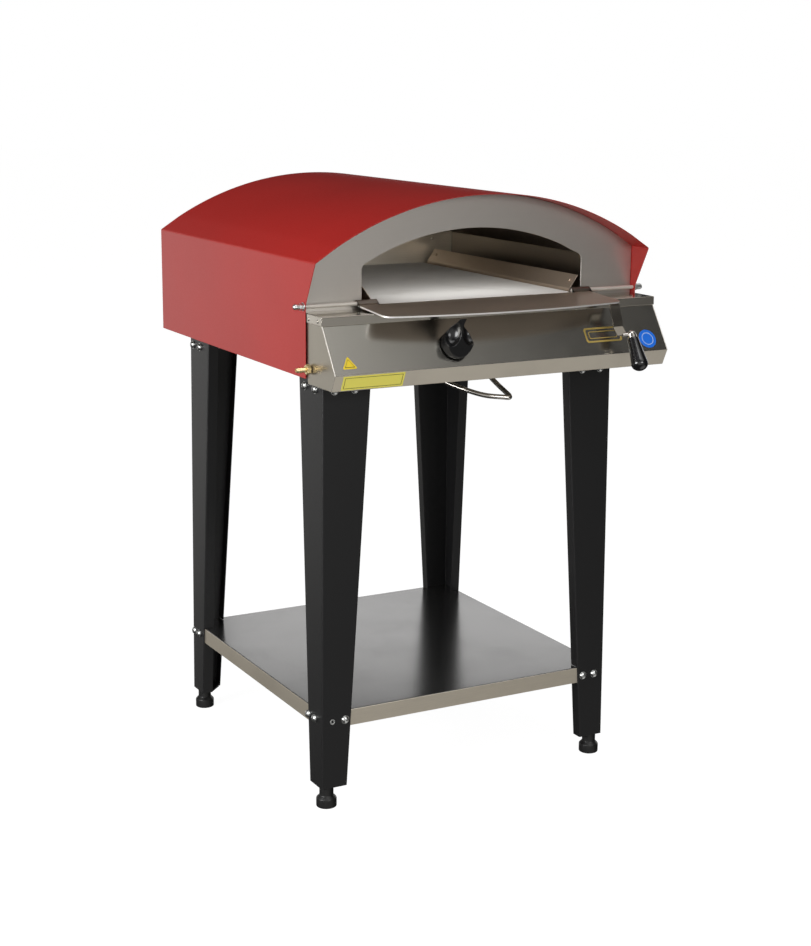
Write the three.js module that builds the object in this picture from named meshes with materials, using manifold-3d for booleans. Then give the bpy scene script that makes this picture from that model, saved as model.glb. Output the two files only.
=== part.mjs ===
// A gas pizza oven on its four-legged stand, as an assembly of separate sheet-metal, gas and fitting parts.
// Millimetres, +Z up, +X to the right of someone facing the mouth, which looks towards -Y.
// The origin is on the floor, under the middle of the oven.
import * as THREE from "three";
import { mergeVertices } from "three/addons/utils/BufferGeometryUtils.js";
import Module from "manifold-3d";

const wasm = await Module();
wasm.setup();

// ---------------------------------------------------------------- driving dimensions
const GAP = 0.3; // left between parts that touch
const SHEET = 1.5; // casing sheet
const THIN = 1.2; // trim and liner sheet

const HOOD = {
  half: 380, rear: 472.5, front: -318.6, wallFront: -276.8,
  bottom: 891.6, knee: 1031.9, eave: 1113.7, apex: 1232.8,
};
const FASCIA = { front: -261, bottom: 893 };
const MOUTH = { half: 252.7, sill: 1004, eave: 1099, apex: 1163 };
const LINER = { half: 305, rear: 363.5, bottom: 986.9, eave: 1095, apex: 1180 };
const DECK = { half: 222, front: -274.5, rear: 350, top: 1026, thick: 20, chamfer: 10 };
const PAN = { bottom: 892, flange: 20 };
const PANEL = {
  half: 379, rear: -280.8, top: 1016.7, front: -344.4, flange: 19.6,
  nose: [-398.5, 914.4], heel: [-383.6, 882.5],
  tuck: 2.3, fold: 14, // how far the face runs up behind the cover's flange, and then back
};
const HINGE = { y: -268.5, z: 1028, rod: 4, knuckleInner: 225, knuckleOuter: 268, tip: 400.5 };
const DOOR = { half: 268, reach: 142, sideReach: 122, slope: 4.2, drop: 1.86, thick: 3, corner: 18 };
const KNOB = {
  x: -112, z: 951, standOff: 4, radius: 30, frontRadius: 29, height: 54.5, middle: 31.5, rise: 0.82,
  bore: 22, scoop: { across: 20.8, up: 13, lift: 1, halves: [19.6, 29, 22] },
};
const LEG = {
  topZ: 890, bottomZ: 44.5, sheet: 2, lip: 24, topWidth: 106.7, bottomWidth: 57,
  top: { x: 335.6, front: -258.9, rear: 419 },
  bottom: { x: 341.6, front: -264.9, rear: 425 },
};
const SHELF = { half: 338.1, front: -261.4, rear: 421.4, top: 205.4, flange: 34.5 };
const FOOT = { radius: 21, neck: 14.5, shoulder: 19, inset: 19.3, stud: 5, socket: 12, studTop: 96 };
const FOOT_PLATE = { thick: 5, size: 50, lip: 25 };
const BRACKET = { bottom: 846, thick: 2.5, reach: 92, ledge: 40, clearance: 0.35 };
const TRAY = { half: 190, front: -225, rear: 330, bottom: 864, top: 880 };
const VENT = { rows: 2, columns: 9, pitch: 52, rise: 24, length: 36, height: 7, z: 938 };
const REAR_INSET = 9; // the rear panel stands this far inside the hood's rear edge
const RAIL = { inner: 176, outer: 206 };
const GUARD = { inner: 228, foot: 246, bend: 1031, top: [248.8, 1057.4], rear: 337.5 };
const BURNER = { x: 268, z: 1000, radius: 9, front: -236, rear: 335 };
const LEAD = { x: -290, z: 996, radius: 1.6 }; // the thermocouple's way through the fascia
const SUPPORT = { inner: 150, outer: 190 };
const BLANKET = 38;
const INSULATION_FLOOR = 941;
const NOZZLE = {
  y: -292, z: 912, tip: 408, across: 20, hex: 7, bore: 6,
  barb: 5.4, barbs: 3, barbPitch: 5.5,
};
const VALVE = { near: 14, far: 58, half: 15, depth: 26, bore: 7.4, neck: 10 };
const PIPE = 6;

// ---------------------------------------------------------------- solids
const X = new THREE.Vector3(1, 0, 0);
const Y = new THREE.Vector3(0, 1, 0);
const Z = new THREE.Vector3(0, 0, 1);

function solid(geometry) {
  const bare = geometry.clone();
  bare.deleteAttribute("normal");
  bare.deleteAttribute("uv");
  const merged = mergeVertices(bare, 1e-4);
  const vertProperties = new Float32Array(merged.attributes.position.array);
  const triVerts = new Uint32Array(merged.index.array);
  return new wasm.Manifold(new wasm.Mesh({ numProp: 3, vertProperties, triVerts }));
}

function geometryOf(manifold) {
  const mesh = manifold.getMesh();
  const geometry = new THREE.BufferGeometry();
  geometry.setAttribute("position", new THREE.BufferAttribute(mesh.vertProperties, 3));
  geometry.setIndex(new THREE.BufferAttribute(mesh.triVerts, 1));
  geometry.computeVertexNormals();
  return geometry;
}

const join = (...parts) => parts.reduce((whole, part) => whole.add(part));
const cut = (whole, ...tools) => tools.reduce((rest, tool) => rest.subtract(tool), whole);

function box([x0, x1], [y0, y1], [z0, z1]) {
  const geometry = new THREE.BoxGeometry(x1 - x0, y1 - y0, z1 - z0);
  return solid(geometry.translate((x0 + x1) / 2, (y0 + y1) / 2, (z0 + z1) / 2));
}

// An outline, as [a, b] points, pushed along one axis from `from` to `to`.
function prism(outline, axis, from, to) {
  const shape = new THREE.Shape(outline.map(([a, b]) => new THREE.Vector2(a, b)));
  const geometry = new THREE.ExtrudeGeometry(shape, { depth: to - from, bevelEnabled: false });
  const turn = new THREE.Matrix4();
  if (axis === "x") {
    turn.makeBasis(Y, Z, X).setPosition(from, 0, 0);
  } else if (axis === "y") {
    turn.makeBasis(X, Z, Y.clone().negate()).setPosition(0, to, 0);
  } else {
    turn.setPosition(0, 0, from);
  }
  return solid(geometry.applyMatrix4(turn));
}

// A solid of revolution: profile points are [radius, distance along the direction from the base].
function turned(profile, base, direction, sides = 24) {
  const points = profile.map(([r, h]) => new THREE.Vector2(r, h));
  const geometry = new THREE.LatheGeometry(points, sides);
  const aim = new THREE.Quaternion().setFromUnitVectors(Y, direction.clone().normalize());
  return solid(geometry.applyQuaternion(aim).translate(base.x, base.y, base.z));
}

function rod(from, to, radius, sides = 16) {
  const start = new THREE.Vector3(...from);
  const along = new THREE.Vector3(...to).sub(start);
  const length = along.length();
  return turned([[0, 0], [radius, 0], [radius, length], [0, length]], start, along, sides);
}

// A round bar or pipe that follows a curve.
function bent(curve, radius, steps, sides = 10) {
  const section = new THREE.Shape();
  for (let i = 0; i < sides; i++) {
    const angle = (2 * Math.PI * i) / sides;
    const method = i ? "lineTo" : "moveTo";
    section[method](radius * Math.cos(angle), radius * Math.sin(angle));
  }
  return solid(new THREE.ExtrudeGeometry(section, { extrudePath: curve, steps }));
}

function throughPoints(points, tension = 0.5) {
  const vectors = points.map((point) => new THREE.Vector3(...point));
  return new THREE.CatmullRomCurve3(vectors, false, "catmullrom", tension);
}

// The same part on the other side of the oven.
const mirrored = (part) => part.mirror([1, 0, 0]);

// The [x, z] points of an arch: up one side, over the crown and down the other.
function arch(half, bottom, eave, apex, steps = 32) {
  const rise = apex - eave;
  const radius = (half * half + rise * rise) / (2 * rise);
  const reach = Math.asin(half / radius);
  const points = [[half, bottom]];
  for (let i = 0; i <= steps; i++) {
    const angle = reach * (1 - (2 * i) / steps);
    points.push([radius * Math.sin(angle), apex - radius + radius * Math.cos(angle)]);
  }
  points.push([-half, bottom]);
  return points;
}

// An arch that stands `inset` inside another one all the way round.
const archInside = ({ half, eave, apex }, inset, bottom, steps) =>
  arch(half - inset, bottom, eave - inset * 0.25, apex - inset, steps);

const root = new THREE.Group();

function add(name, part, colour, roughness, metalness = 0) {
  const material = new THREE.MeshStandardMaterial({ color: colour, roughness, metalness });
  const mesh = new THREE.Mesh(geometryOf(part), material);
  mesh.name = name;
  root.add(mesh);
}

const RED = 0x8e1b22;
const STEEL = 0x9b978f;
const ZINC = 0xc8c9c6;
const BLACK = 0x141416;
const STONE = 0xbdb9b0;
const FIBRE = 0xe6e2d8;
const BRASS = 0xc9a24a;
const steel = (name, part, roughness = 0.32) => add(name, part, STEEL, roughness, 1);
const black = (name, part) => add(name, part, BLACK, 0.5);

// ---------------------------------------------------------------- casing
function hoodShell() {
  const { half, rear, front, wallFront, bottom, knee, eave } = HOOD;
  const outside = prism(archInside(HOOD, 0, bottom), "y", front, rear);
  const inside = prism(archInside(HOOD, SHEET, bottom - 1), "y", front - 1, rear + 1);
  const ahead = front - 1;
  const below = bottom - 1;
  const relief = prism(
    [[ahead, below], [wallFront, below], [wallFront, knee], [front, eave - 0.5], [ahead, eave - 0.5]],
    "x", -half - 1, half + 1,
  );
  const rodHoles = rod([-half - 1, HINGE.y, HINGE.z], [half + 1, HINGE.y, HINGE.z], HINGE.rod + 0.3);
  return cut(outside, inside, relief, rodHoles);
}

function rearPanel() {
  const back = HOOD.rear - REAR_INSET;
  let panel = prism(archInside(HOOD, SHEET + 0.5, PAN.bottom + 2), "y", back - SHEET, back);
  for (let row = 0; row < VENT.rows; row++) {
    for (let column = 0; column < VENT.columns; column++) {
      const x = (column - (VENT.columns - 1) / 2) * VENT.pitch;
      const z = VENT.z + row * VENT.rise;
      const across = [x - VENT.length / 2, x + VENT.length / 2];
      panel = cut(panel, box(across, [back - 5, back + 5], [z, z + VENT.height]));
    }
  }
  return panel;
}

function frontFascia() {
  const { front, bottom } = FASCIA;
  const plate = prism(archInside(HOOD, SHEET + 0.5, bottom), "y", front, front + SHEET);
  const mouth = prism(arch(MOUTH.half, MOUTH.sill, MOUTH.eave, MOUTH.apex), "y", front - 1, front + 3);
  const burnerHole = (x) => rod([x, front - 1, BURNER.z], [x, front + 3, BURNER.z], 8);
  const leadHole = rod([LEAD.x, front - 1, LEAD.z], [LEAD.x, front + 3, LEAD.z], 4);
  return cut(plate, mouth, burnerHole(BURNER.x), burnerHole(-BURNER.x), leadHole);
}

function basePan() {
  const half = HOOD.half - SHEET - 0.7;
  const [front, rear] = [FASCIA.front + SHEET + GAP, HOOD.rear - REAR_INSET - SHEET - GAP];
  const rim = [PAN.bottom, PAN.bottom + PAN.flange];
  const floor = box([-half, half], [front, rear], [PAN.bottom, PAN.bottom + SHEET]);
  const left = box([-half, SHEET - half], [front, rear], rim);
  const back = box([-half, half], [rear - SHEET, rear], rim);
  return join(floor, left, mirrored(left), back);
}

// ---------------------------------------------------------------- baking chamber
const CHAMBER_FRONT = FASCIA.front + SHEET + GAP;

function chamberLiner() {
  const outside = prism(archInside(LINER, 0, LINER.bottom), "y", CHAMBER_FRONT, LINER.rear);
  const inside = prism(archInside(LINER, THIN, LINER.bottom - 1), "y", CHAMBER_FRONT - 1, LINER.rear + 1);
  return cut(outside, inside);
}

function chamberRearWall() {
  return prism(archInside(LINER, THIN + GAP, LINER.bottom), "y", LINER.rear - 8, LINER.rear - 8 + THIN);
}

function chamberFloor() {
  const half = LINER.half;
  const top = LINER.bottom - GAP;
  const low = top - 16;
  const [front, rear] = [CHAMBER_FRONT, LINER.rear];
  const hollow = box([THIN - half, half - THIN], [front - 1, rear - THIN], [low - 1, top - THIN]);
  return cut(box([-half, half], [front, rear], [low, top]), hollow);
}

function bakingStone() {
  const { half, front, rear, top, thick, chamfer } = DECK;
  const outline = [
    [-half, rear], [-half, front + chamfer], [-half + chamfer, front],
    [half - chamfer, front], [half, front + chamfer], [half, rear],
  ];
  return prism(outline, "z", top - thick, top);
}

// A channel, open upwards, that carries the stone above the chamber floor.
function deckRail() {
  const { inner, outer } = RAIL;
  const [low, high] = [LINER.bottom + GAP, DECK.top - DECK.thick - GAP];
  const along = [CHAMBER_FRONT + 4, DECK.rear - 20];
  return join(
    box([inner, outer], along, [low, low + SHEET]),
    box([inner, inner + SHEET], along, [low, high]),
    box([outer - SHEET, outer], along, [low, high]),
  );
}

function flameGuard() {
  const { inner, foot, bend, top, rear } = GUARD;
  const low = LINER.bottom + GAP;
  const outer = inner + THIN;
  const outline = [
    [inner, low], [foot, low], [foot, low + THIN], [outer, low + THIN], [outer, bend],
    top, [top[0] - THIN, top[1] + 1], [inner, bend + THIN / 2],
  ];
  return prism(outline, "y", CHAMBER_FRONT + 2, rear);
}

function burnerTube() {
  const { x, z, radius, front, rear } = BURNER;
  const pipe = rod([x, front, z], [x, rear, z], radius);
  const foot = (y) => box([x - 7, x + 7], [y, y + 3], [LINER.bottom + GAP, z]);
  return join(pipe, foot(front + 12), foot(rear - 20));
}

function floorSupport() {
  const { inner, outer } = SUPPORT;
  const [low, high] = [PAN.bottom + SHEET + GAP, INSULATION_FLOOR - GAP];
  const along = [CHAMBER_FRONT + 10, LINER.rear - 10];
  return join(
    box([inner, outer], along, [high - SHEET, high]),
    box([inner, inner + SHEET], along, [low, high]),
    box([outer - SHEET, outer], along, [low, high]),
  );
}

// ---------------------------------------------------------------- insulation
function insulationBlanket() {
  const wrap = { half: LINER.half + BLANKET, eave: LINER.eave + 9, apex: LINER.apex + BLANKET };
  const [front, rear] = [CHAMBER_FRONT, LINER.rear + BLANKET];
  const outside = prism(archInside(wrap, 0, INSULATION_FLOOR, 20), "y", front, rear);
  const hollow = prism(archInside(LINER, -GAP, INSULATION_FLOOR - 1), "y", front - 1, rear + 1);
  return cut(outside, hollow);
}

function rearInsulation() {
  const within = { half: LINER.half - 1, eave: LINER.eave - 1, apex: LINER.apex - 2 };
  const [front, rear] = [LINER.rear + GAP, LINER.rear + BLANKET];
  return prism(archInside(within, 0, INSULATION_FLOOR, 20), "y", front, rear);
}

function floorInsulation() {
  const half = LINER.half - THIN - 2;
  const [front, rear] = [CHAMBER_FRONT, LINER.rear - THIN - 2];
  const top = LINER.bottom - GAP - THIN - GAP;
  return box([-half, half], [front, rear], [INSULATION_FLOOR, top]);
}

// ---------------------------------------------------------------- control housing
const faceDirection = new THREE.Vector2(
  PANEL.nose[0] - PANEL.front, PANEL.nose[1] - (PANEL.top - PANEL.flange),
).normalize();
const faceNormal = new THREE.Vector3(0, faceDirection.y, -faceDirection.x);
const faceY = (z) => PANEL.front - ((PANEL.top - PANEL.flange - z) * faceDirection.x) / faceDirection.y;
const knobCentre = new THREE.Vector3(KNOB.x, faceY(KNOB.z), KNOB.z);
const alongKnob = (distance) => knobCentre.clone().addScaledVector(faceNormal, distance);

function controlPanel() {
  const { half, rear, front, nose, heel, fold } = PANEL;
  const lip = front + THIN + GAP;
  const lipTop = PANEL.top - THIN - GAP;
  const shoulder = PANEL.top - PANEL.flange + PANEL.tuck;
  const side = half - THIN - GAP;
  const outline = [[rear, heel[1]], heel, nose, [lip, shoulder], [lip, lipTop], [rear, lipTop]];
  const hollow = [
    [rear + 1, heel[1] + THIN], [heel[0] + 0.8, heel[1] + THIN], [nose[0] + THIN + 0.2, nose[1] + 0.1],
    [lip + 0.7, shoulder - THIN], [lip + fold, shoulder - THIN], [lip + fold, shoulder],
    [lip - 1, shoulder], [lip - 1, lipTop + 1], [rear + 1, lipTop + 1],
  ];
  const spindleHole = turned([[0, -4], [6.5, -4], [6.5, 6], [0, 6]], knobCentre, faceNormal);
  const nozzleHole = rod([-half - 1, NOZZLE.y, NOZZLE.z], [20 - half, NOZZLE.y, NOZZLE.z], 6.5);
  const tab = box([side - 2.6, side - THIN], [rear - 8, FASCIA.front - GAP], [FASCIA.bottom, lipTop - 2]);
  const housing = cut(prism(outline, "x", -side, side), prism(hollow, "x", THIN - side, side - THIN));
  return cut(join(housing, tab, mirrored(tab)), spindleHole, nozzleHole);
}

function topCover() {
  const { half, rear, front, top, flange, tuck } = PANEL;
  const skirt = [top - flange + tuck + GAP, top];
  const wide = box([-half, half], [front, rear], [top - THIN, top]);
  const ledge = box([3 - half, -DECK.half - 1], [rear - 1, FASCIA.front - GAP], [top - THIN, top]);
  const apron = box([-half, half], [front, front + THIN], skirt);
  const side = box([-half, THIN - half], [front, rear], skirt);
  return join(wide, ledge, mirrored(ledge), apron, side, mirrored(side));
}

// ---------------------------------------------------------------- gas parts
function hoseNozzle() {
  const { y, z, tip, bore, barb, barbs, barbPitch } = NOZZLE;
  const seat = -PANEL.half - GAP;
  const base = new THREE.Vector3(seat, y, z);
  const left = X.clone().negate();
  const across = NOZZLE.across / Math.sqrt(3);
  const hex = turned([[0, 0], [across, 0], [across, NOZZLE.hex], [0, NOZZLE.hex]], base, left, 6);
  const length = tip - PANEL.half - GAP;
  const profile = [[0, 5], [barb - 1.2, 5], [barb - 1.2, 2 * barbPitch]];
  for (let i = 0; i < barbs; i++) {
    const start = (2 + i) * barbPitch;
    profile.push([barb, start], [barb - 1.4, start + barbPitch - 0.5]);
  }
  profile.push([barb - 2, length], [0, length]);
  const stub = rod([seat - 1, y, z], [seat + 14, y, z], bore);
  return join(hex, turned(profile, base, left, 16), stub);
}

const valvePort = () => alongKnob(-(VALVE.near + VALVE.far) / 2);

function gasInlet() {
  const start = -PANEL.half + 14;
  const port = valvePort();
  const end = port.x - VALVE.half - GAP;
  return bent(throughPoints([
    [start, NOZZLE.y, NOZZLE.z], [-300, NOZZLE.y, NOZZLE.z], [-215, -296, 913],
    [end - 22, port.y, port.z], [end, port.y, port.z],
  ], 0.3), PIPE, 20);
}

// The valve is a block behind the panel with a bore for its spindle and collar.
function gasValve() {
  const { near, far, half, depth, bore: radius, neck: outer } = VALVE;
  const middle = valvePort();
  const block = new THREE.BoxGeometry(2 * half, depth, far - near);
  const aim = new THREE.Quaternion().setFromUnitVectors(Z, faceNormal);
  const placed = block.applyQuaternion(aim).translate(middle.x, middle.y, middle.z);
  const mouth = alongKnob(-near);
  const bore = turned([[0, -40], [radius, -40], [radius, 5], [0, 5]], mouth, faceNormal);
  const neck = turned(
    [[radius, -6], [outer, -6], [outer, 10], [radius, 10], [radius, -6]], mouth, faceNormal,
  );
  return join(cut(solid(placed), bore), neck);
}

function spindleCollar() {
  const base = alongKnob(-30);
  return turned([[4.3, 0], [7, 0], [7, 14], [4.3, 14], [4.3, 0]], base, faceNormal);
}

function valveSpindle() {
  const base = alongKnob(-44);
  return turned([[0, 0], [6, 0], [6, 12], [4, 12], [4, 68], [0, 68]], base, faceNormal);
}

// A tapered round knob cut off by a slanting plane, with a scoop on each side of its grip ridge.
function controlKnob() {
  const { radius, frontRadius, height, middle, rise, bore, scoop } = KNOB;
  const body = turned([
    [4.3, 0], [radius, 0], [frontRadius, height], [0, height], [0, bore], [4.3, bore], [4.3, 0],
  ], new THREE.Vector3(), Z, 32);
  const beyond = radius + 10;
  const above = prism([
    [-beyond, middle - rise * beyond], [beyond, middle + rise * beyond],
    [beyond, height + 40], [-beyond, height + 40],
  ], "x", -beyond, beyond);
  const slant = Math.atan(rise);
  const bowl = (side) => {
    const ball = new THREE.SphereGeometry(1, 20, 12).scale(...scoop.halves);
    ball.translate(side * scoop.across, scoop.up, scoop.lift).rotateX(slant).translate(0, 0, middle);
    return solid(ball);
  };
  const shaped = geometryOf(cut(body, above, bowl(1), bowl(-1)));
  const aim = new THREE.Quaternion().setFromUnitVectors(Z, faceNormal);
  const base = alongKnob(KNOB.standOff);
  return solid(shaped.applyQuaternion(aim).translate(base.x, base.y, base.z));
}

// The manifold takes gas from the valve's outlet to both burners.
function gasManifold() {
  const { x, z, front } = BURNER;
  const y = PANEL.rear - 9;
  const port = valvePort();
  const start = port.x + VALVE.half + GAP;
  const bar = rod([-x - 8, y, z], [x + 8, y, z], PIPE, 12);
  const feed = bent(throughPoints([
    [start, port.y, port.z], [start + 16, port.y, port.z], [start + 46, y - 6, z - 26], [start + 50, y, z],
  ], 0.4), PIPE - 1, 14);
  const stub = (side) => rod([side * x, y, z], [side * x, front - GAP, z], PIPE, 12);
  return join(bar, feed, stub(1), stub(-1));
}

// The lead runs from its tip over the left burner, through the fascia, to the back of the valve.
function thermocouple() {
  const port = alongKnob(-VALVE.far - GAP);
  const clear = alongKnob(-VALVE.far - 10);
  const tip = [[-BURNER.x - 16, -205, 1012], [-BURNER.x - 20, -236, 1001]];
  const outside = [[LEAD.x + 8, -276, 975], [-230, -284, 945], [-150, -292, 920]];
  const path = [...tip, [LEAD.x, -262, LEAD.z], ...outside, clear.toArray(), port.toArray()];
  return bent(throughPoints(path), LEAD.radius, 30, 6);
}

// ---------------------------------------------------------------- door
function hingePin(side) {
  const { y, z, rod: radius, knuckleInner, tip } = HINGE;
  const wall = HOOD.half;
  const at = (x) => [side * x, y, z];
  const bar = rod(at(knuckleInner + 1), at(wall + 14), radius);
  const washer = rod(at(wall + GAP), at(wall + 2), 8.5, 20);
  const nut = rod(at(wall + 2), at(wall + 8.5), 7.5, 6);
  const cap = rod(at(wall + 8.5), at(tip + 2), 5.8, 16);
  const inner = rod(at(wall - SHEET - GAP - 2), at(wall - SHEET - GAP), 7.5, 16);
  return join(bar, washer, nut, cap, inner);
}

const slope = THREE.MathUtils.degToRad(DOOR.slope);
// From the door's own plane (forward, up) to the oven's Y and Z, about the hinge line.
const doorPoint = (forward, up) => [
  HINGE.y - forward * Math.cos(slope) + up * Math.sin(slope) * -1,
  HINGE.z - forward * Math.sin(slope) + up * Math.cos(slope),
];

function doorPlate() {
  const { half, reach, sideReach, drop, thick, corner } = DOOR;
  const steps = 6;
  const side = [];
  const cornerReach = sideReach - corner + 1;
  for (let i = 0; i <= steps; i++) {
    const angle = (Math.PI / 2) * (i / steps);
    side.push([half - corner + corner * Math.cos(angle), cornerReach + corner * Math.sin(angle)]);
  }
  const nose = [];
  const noseHalf = half - corner;
  const rise = reach - sideReach - 1;
  for (let i = 1; i < 16; i++) {
    const across = noseHalf * (1 - i / 8);
    nose.push([across, sideReach + 1 + rise * (1 - (across / noseHalf) ** 2)]);
  }
  const rearEdge = 7;
  const outline = [
    [half, rearEdge], ...side, ...nose,
    ...side.slice().reverse().map(([x, forward]) => [-x, forward]), [-half, rearEdge],
  ];
  const flat = outline.map(([x, forward]) => [x, -forward]).reverse();
  const plate = new THREE.Matrix4().makeRotationX(slope).setPosition(0, HINGE.y, HINGE.z);
  const sheet = geometryOf(prism(flat, "z", -drop - thick, -drop)).applyMatrix4(plate);
  return join(solid(sheet), knuckle(1), knuckle(-1));
}

// A strip of the door's edge rolled round the hinge pin.
function knuckle(side) {
  const { y, z, rod: radius, knuckleInner, knuckleOuter } = HINGE;
  const [inside, outside] = [radius + 0.4, radius + 3.2];
  const width = knuckleOuter - knuckleInner;
  const base = new THREE.Vector3(side * knuckleInner, y, z);
  const roll = turned(
    [[inside, 0], [outside, 0], [outside, width], [inside, width], [inside, 0]],
    base, X.clone().multiplyScalar(side), 20,
  );
  const [y0, z0] = doorPoint(9, -DOOR.drop - DOOR.thick);
  const [y1, z1] = doorPoint(9, -DOOR.drop);
  const [y2, z2] = doorPoint(4.6, -DOOR.drop);
  const [y3, z3] = doorPoint(4.6, -DOOR.drop - DOOR.thick);
  const [x0, x1] = [knuckleInner, knuckleOuter].map((x) => x * side).sort((a, b) => a - b);
  const neck = prism([[y0, z0], [y3, z3], [y2, z2], [y1, z1]], "x", x0, x1);
  return join(roll, neck);
}

// The arm is a strip bent down from under the plate's front corner to the grip, as [y, z] of its middle.
const ARM = { inner: 241, outer: 265, thick: 2.5 };
const ARM_PATH = [
  [-366, 1014.1], [-383.5, 1012.8], [-384.5, 1002], [-394.5, 983], [-397, 969], [-413, 952.5],
];
const GRIP = { x: 268, top: [-424.5, 955], bottom: [-454, 902] };

// The outline of a strip of even thickness along a bent line.
function stripOutline(path, thick) {
  const points = path.map(([a, b]) => new THREE.Vector2(a, b));
  const across = (from, to) => {
    const along = to.clone().sub(from).normalize();
    return new THREE.Vector2(-along.y, along.x);
  };
  const sides = points.map((point, i) => {
    const before = across(points[Math.max(i - 1, 0)], points[Math.max(i, 1)]);
    const last = points.length - 1;
    const after = across(points[Math.min(i, last - 1)], points[Math.min(i + 1, last)]);
    const mitre = before.clone().add(after).normalize();
    return mitre.multiplyScalar(thick / 2 / mitre.dot(after));
  });
  const one = points.map((point, i) => point.clone().add(sides[i]));
  const other = points.map((point, i) => point.clone().sub(sides[i])).reverse();
  return [...one, ...other].map(({ x, y }) => [x, y]);
}

function handleArm() {
  const { inner, outer, thick } = ARM;
  const strip = prism(stripOutline(ARM_PATH, thick), "x", inner, outer);
  const [y, z] = ARM_PATH[ARM_PATH.length - 1];
  const ball = new THREE.SphereGeometry(7, 14, 10).translate(GRIP.x, GRIP.top[0], GRIP.top[1]);
  const lug = box([outer - 12, GRIP.x - 2], [GRIP.top[0], y + 2], [z - 2, z + 4]);
  return join(strip, solid(ball), lug);
}

function handleGrip() {
  const start = new THREE.Vector3(GRIP.x, ...GRIP.top);
  const end = new THREE.Vector3(GRIP.x, ...GRIP.bottom);
  const along = end.clone().sub(start);
  const length = along.length();
  const profile = [[0, 7.4], [9, 7.4], [9.6, 14], [12, length * 0.5], [15.4, length * 0.85]];
  const turns = 6;
  for (let i = 0; i < turns; i++) {
    const angle = (Math.PI / 2) * (i / turns);
    profile.push([16 * Math.cos(angle), length + 16 * Math.sin(angle)]);
  }
  profile.push([0, length + 16]);
  return turned(profile, start, along, 24);
}

// ---------------------------------------------------------------- crumb tray
function crumbTray() {
  const { half, front, rear, bottom, top } = TRAY;
  const tub = box([-half, half], [front, rear], [bottom, top]);
  return cut(tub, box([THIN - half, half - THIN], [front + THIN, rear - THIN], [bottom + THIN, top + 1]));
}

// A bent bar that droops below the oven's front edge; both ends meet the tray's front squarely.
function trayPull() {
  const front = TRAY.front - GAP;
  const end = 870;
  return bent(throughPoints([
    [50, front, end], [50, front - 5, end], [50, -245, 859], [50, -275, 847], [50, -305, 837],
    [49.4, -320, 832], [45, -326, 830], [34, -323.5, 831], [0, -310.5, 835], [-27, -286.5, 843],
    [-50, -257, 853], [-63, -240, 861], [-68, front - 5, end], [-68, front, end],
  ]), 5, 34, 8);
}

// A Z-shaped runner under the base, whose lower edge carries the tray.
function trayRunner() {
  const [inner, outer] = [TRAY.half - 6, TRAY.half + 2];
  const along = [TRAY.front + 8, TRAY.rear];
  const low = TRAY.bottom - GAP - SHEET;
  const high = PAN.bottom - GAP;
  return join(
    box([outer, outer + SHEET], along, [low, high]),
    box([inner, outer + SHEET], along, [low, low + SHEET]),
    box([outer, outer + 14], along, [high - SHEET, high]),
  );
}

// ---------------------------------------------------------------- stand
const CORNERS = [
  ["front_left", -1, "front"], ["front_right", 1, "front"],
  ["rear_left", -1, "rear"], ["rear_right", 1, "rear"],
];

const legShare = (z) => (LEG.topZ - z) / (LEG.topZ - LEG.bottomZ);
const legCorner = (z, end) => ({
  x: THREE.MathUtils.lerp(LEG.top.x, LEG.bottom.x, legShare(z)),
  y: THREE.MathUtils.lerp(LEG.top[end], LEG.bottom[end], legShare(z)),
});
const legWidth = (z) => THREE.MathUtils.lerp(LEG.topWidth, LEG.bottomWidth, legShare(z));

// The [x, y] outline of a folded angle with a return lip on both edges.
function legOutline(z, side, end) {
  const { sheet, lip } = LEG;
  const width = legWidth(z);
  const corner = legCorner(z, end);
  const inward = end === "front" ? 1 : -1;
  const outline = [
    [0, 0], [width, 0], [width, lip], [width - sheet, lip], [width - sheet, sheet], [sheet, sheet],
    [sheet, width - sheet], [lip, width - sheet], [lip, width], [0, width],
  ].map(([a, b]) => [side * (corner.x - a), corner.y + inward * b]);
  return side * inward < 0 ? outline : outline.reverse();
}

// Straight sides between a leg's outline at the foot and its outline at the top.
function loft(lower, upper, z0, z1) {
  const count = lower.length;
  const positions = [...lower.map(([x, y]) => [x, y, z0]), ...upper.map(([x, y]) => [x, y, z1])];
  const caps = THREE.ShapeUtils.triangulateShape(lower.map(([x, y]) => new THREE.Vector2(x, y)), []);
  const index = [];
  for (const [a, b, c] of caps) {
    index.push(c, b, a, a + count, b + count, c + count);
  }
  for (let i = 0; i < count; i++) {
    const next = (i + 1) % count;
    index.push(i, next, next + count, i, next + count, i + count);
  }
  const geometry = new THREE.BufferGeometry();
  geometry.setAttribute("position", new THREE.Float32BufferAttribute(positions.flat(), 3));
  geometry.setIndex(index);
  return solid(geometry);
}

// A folded, tapered leg, with a notch in each lip where the shelf passes through.
function leg(side, end) {
  const { bottomZ, topZ, sheet, lip } = LEG;
  const folded = loft(legOutline(bottomZ, side, end), legOutline(topZ, side, end), bottomZ, topZ);
  const inward = end === "front" ? 1 : -1;
  const { x, y } = legCorner(SHELF.top, end);
  const level = [SHELF.top - SHELF.flange - 1, SHELF.top + 1];
  const along = [legWidth(SHELF.top) - sheet - 3, legWidth(SHELF.top) + 4];
  const across = [sheet + 0.2, lip + 1];
  const spanX = (range) => range.map((a) => side * (x - a)).sort((one, other) => one - other);
  const spanY = (range) => range.map((b) => y + inward * b).sort((one, other) => one - other);
  const notchX = box(spanX(along), spanY(across), level);
  const notchY = box(spanX(across), spanY(along), level);
  return cut(folded, notchX, notchY);
}

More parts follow.
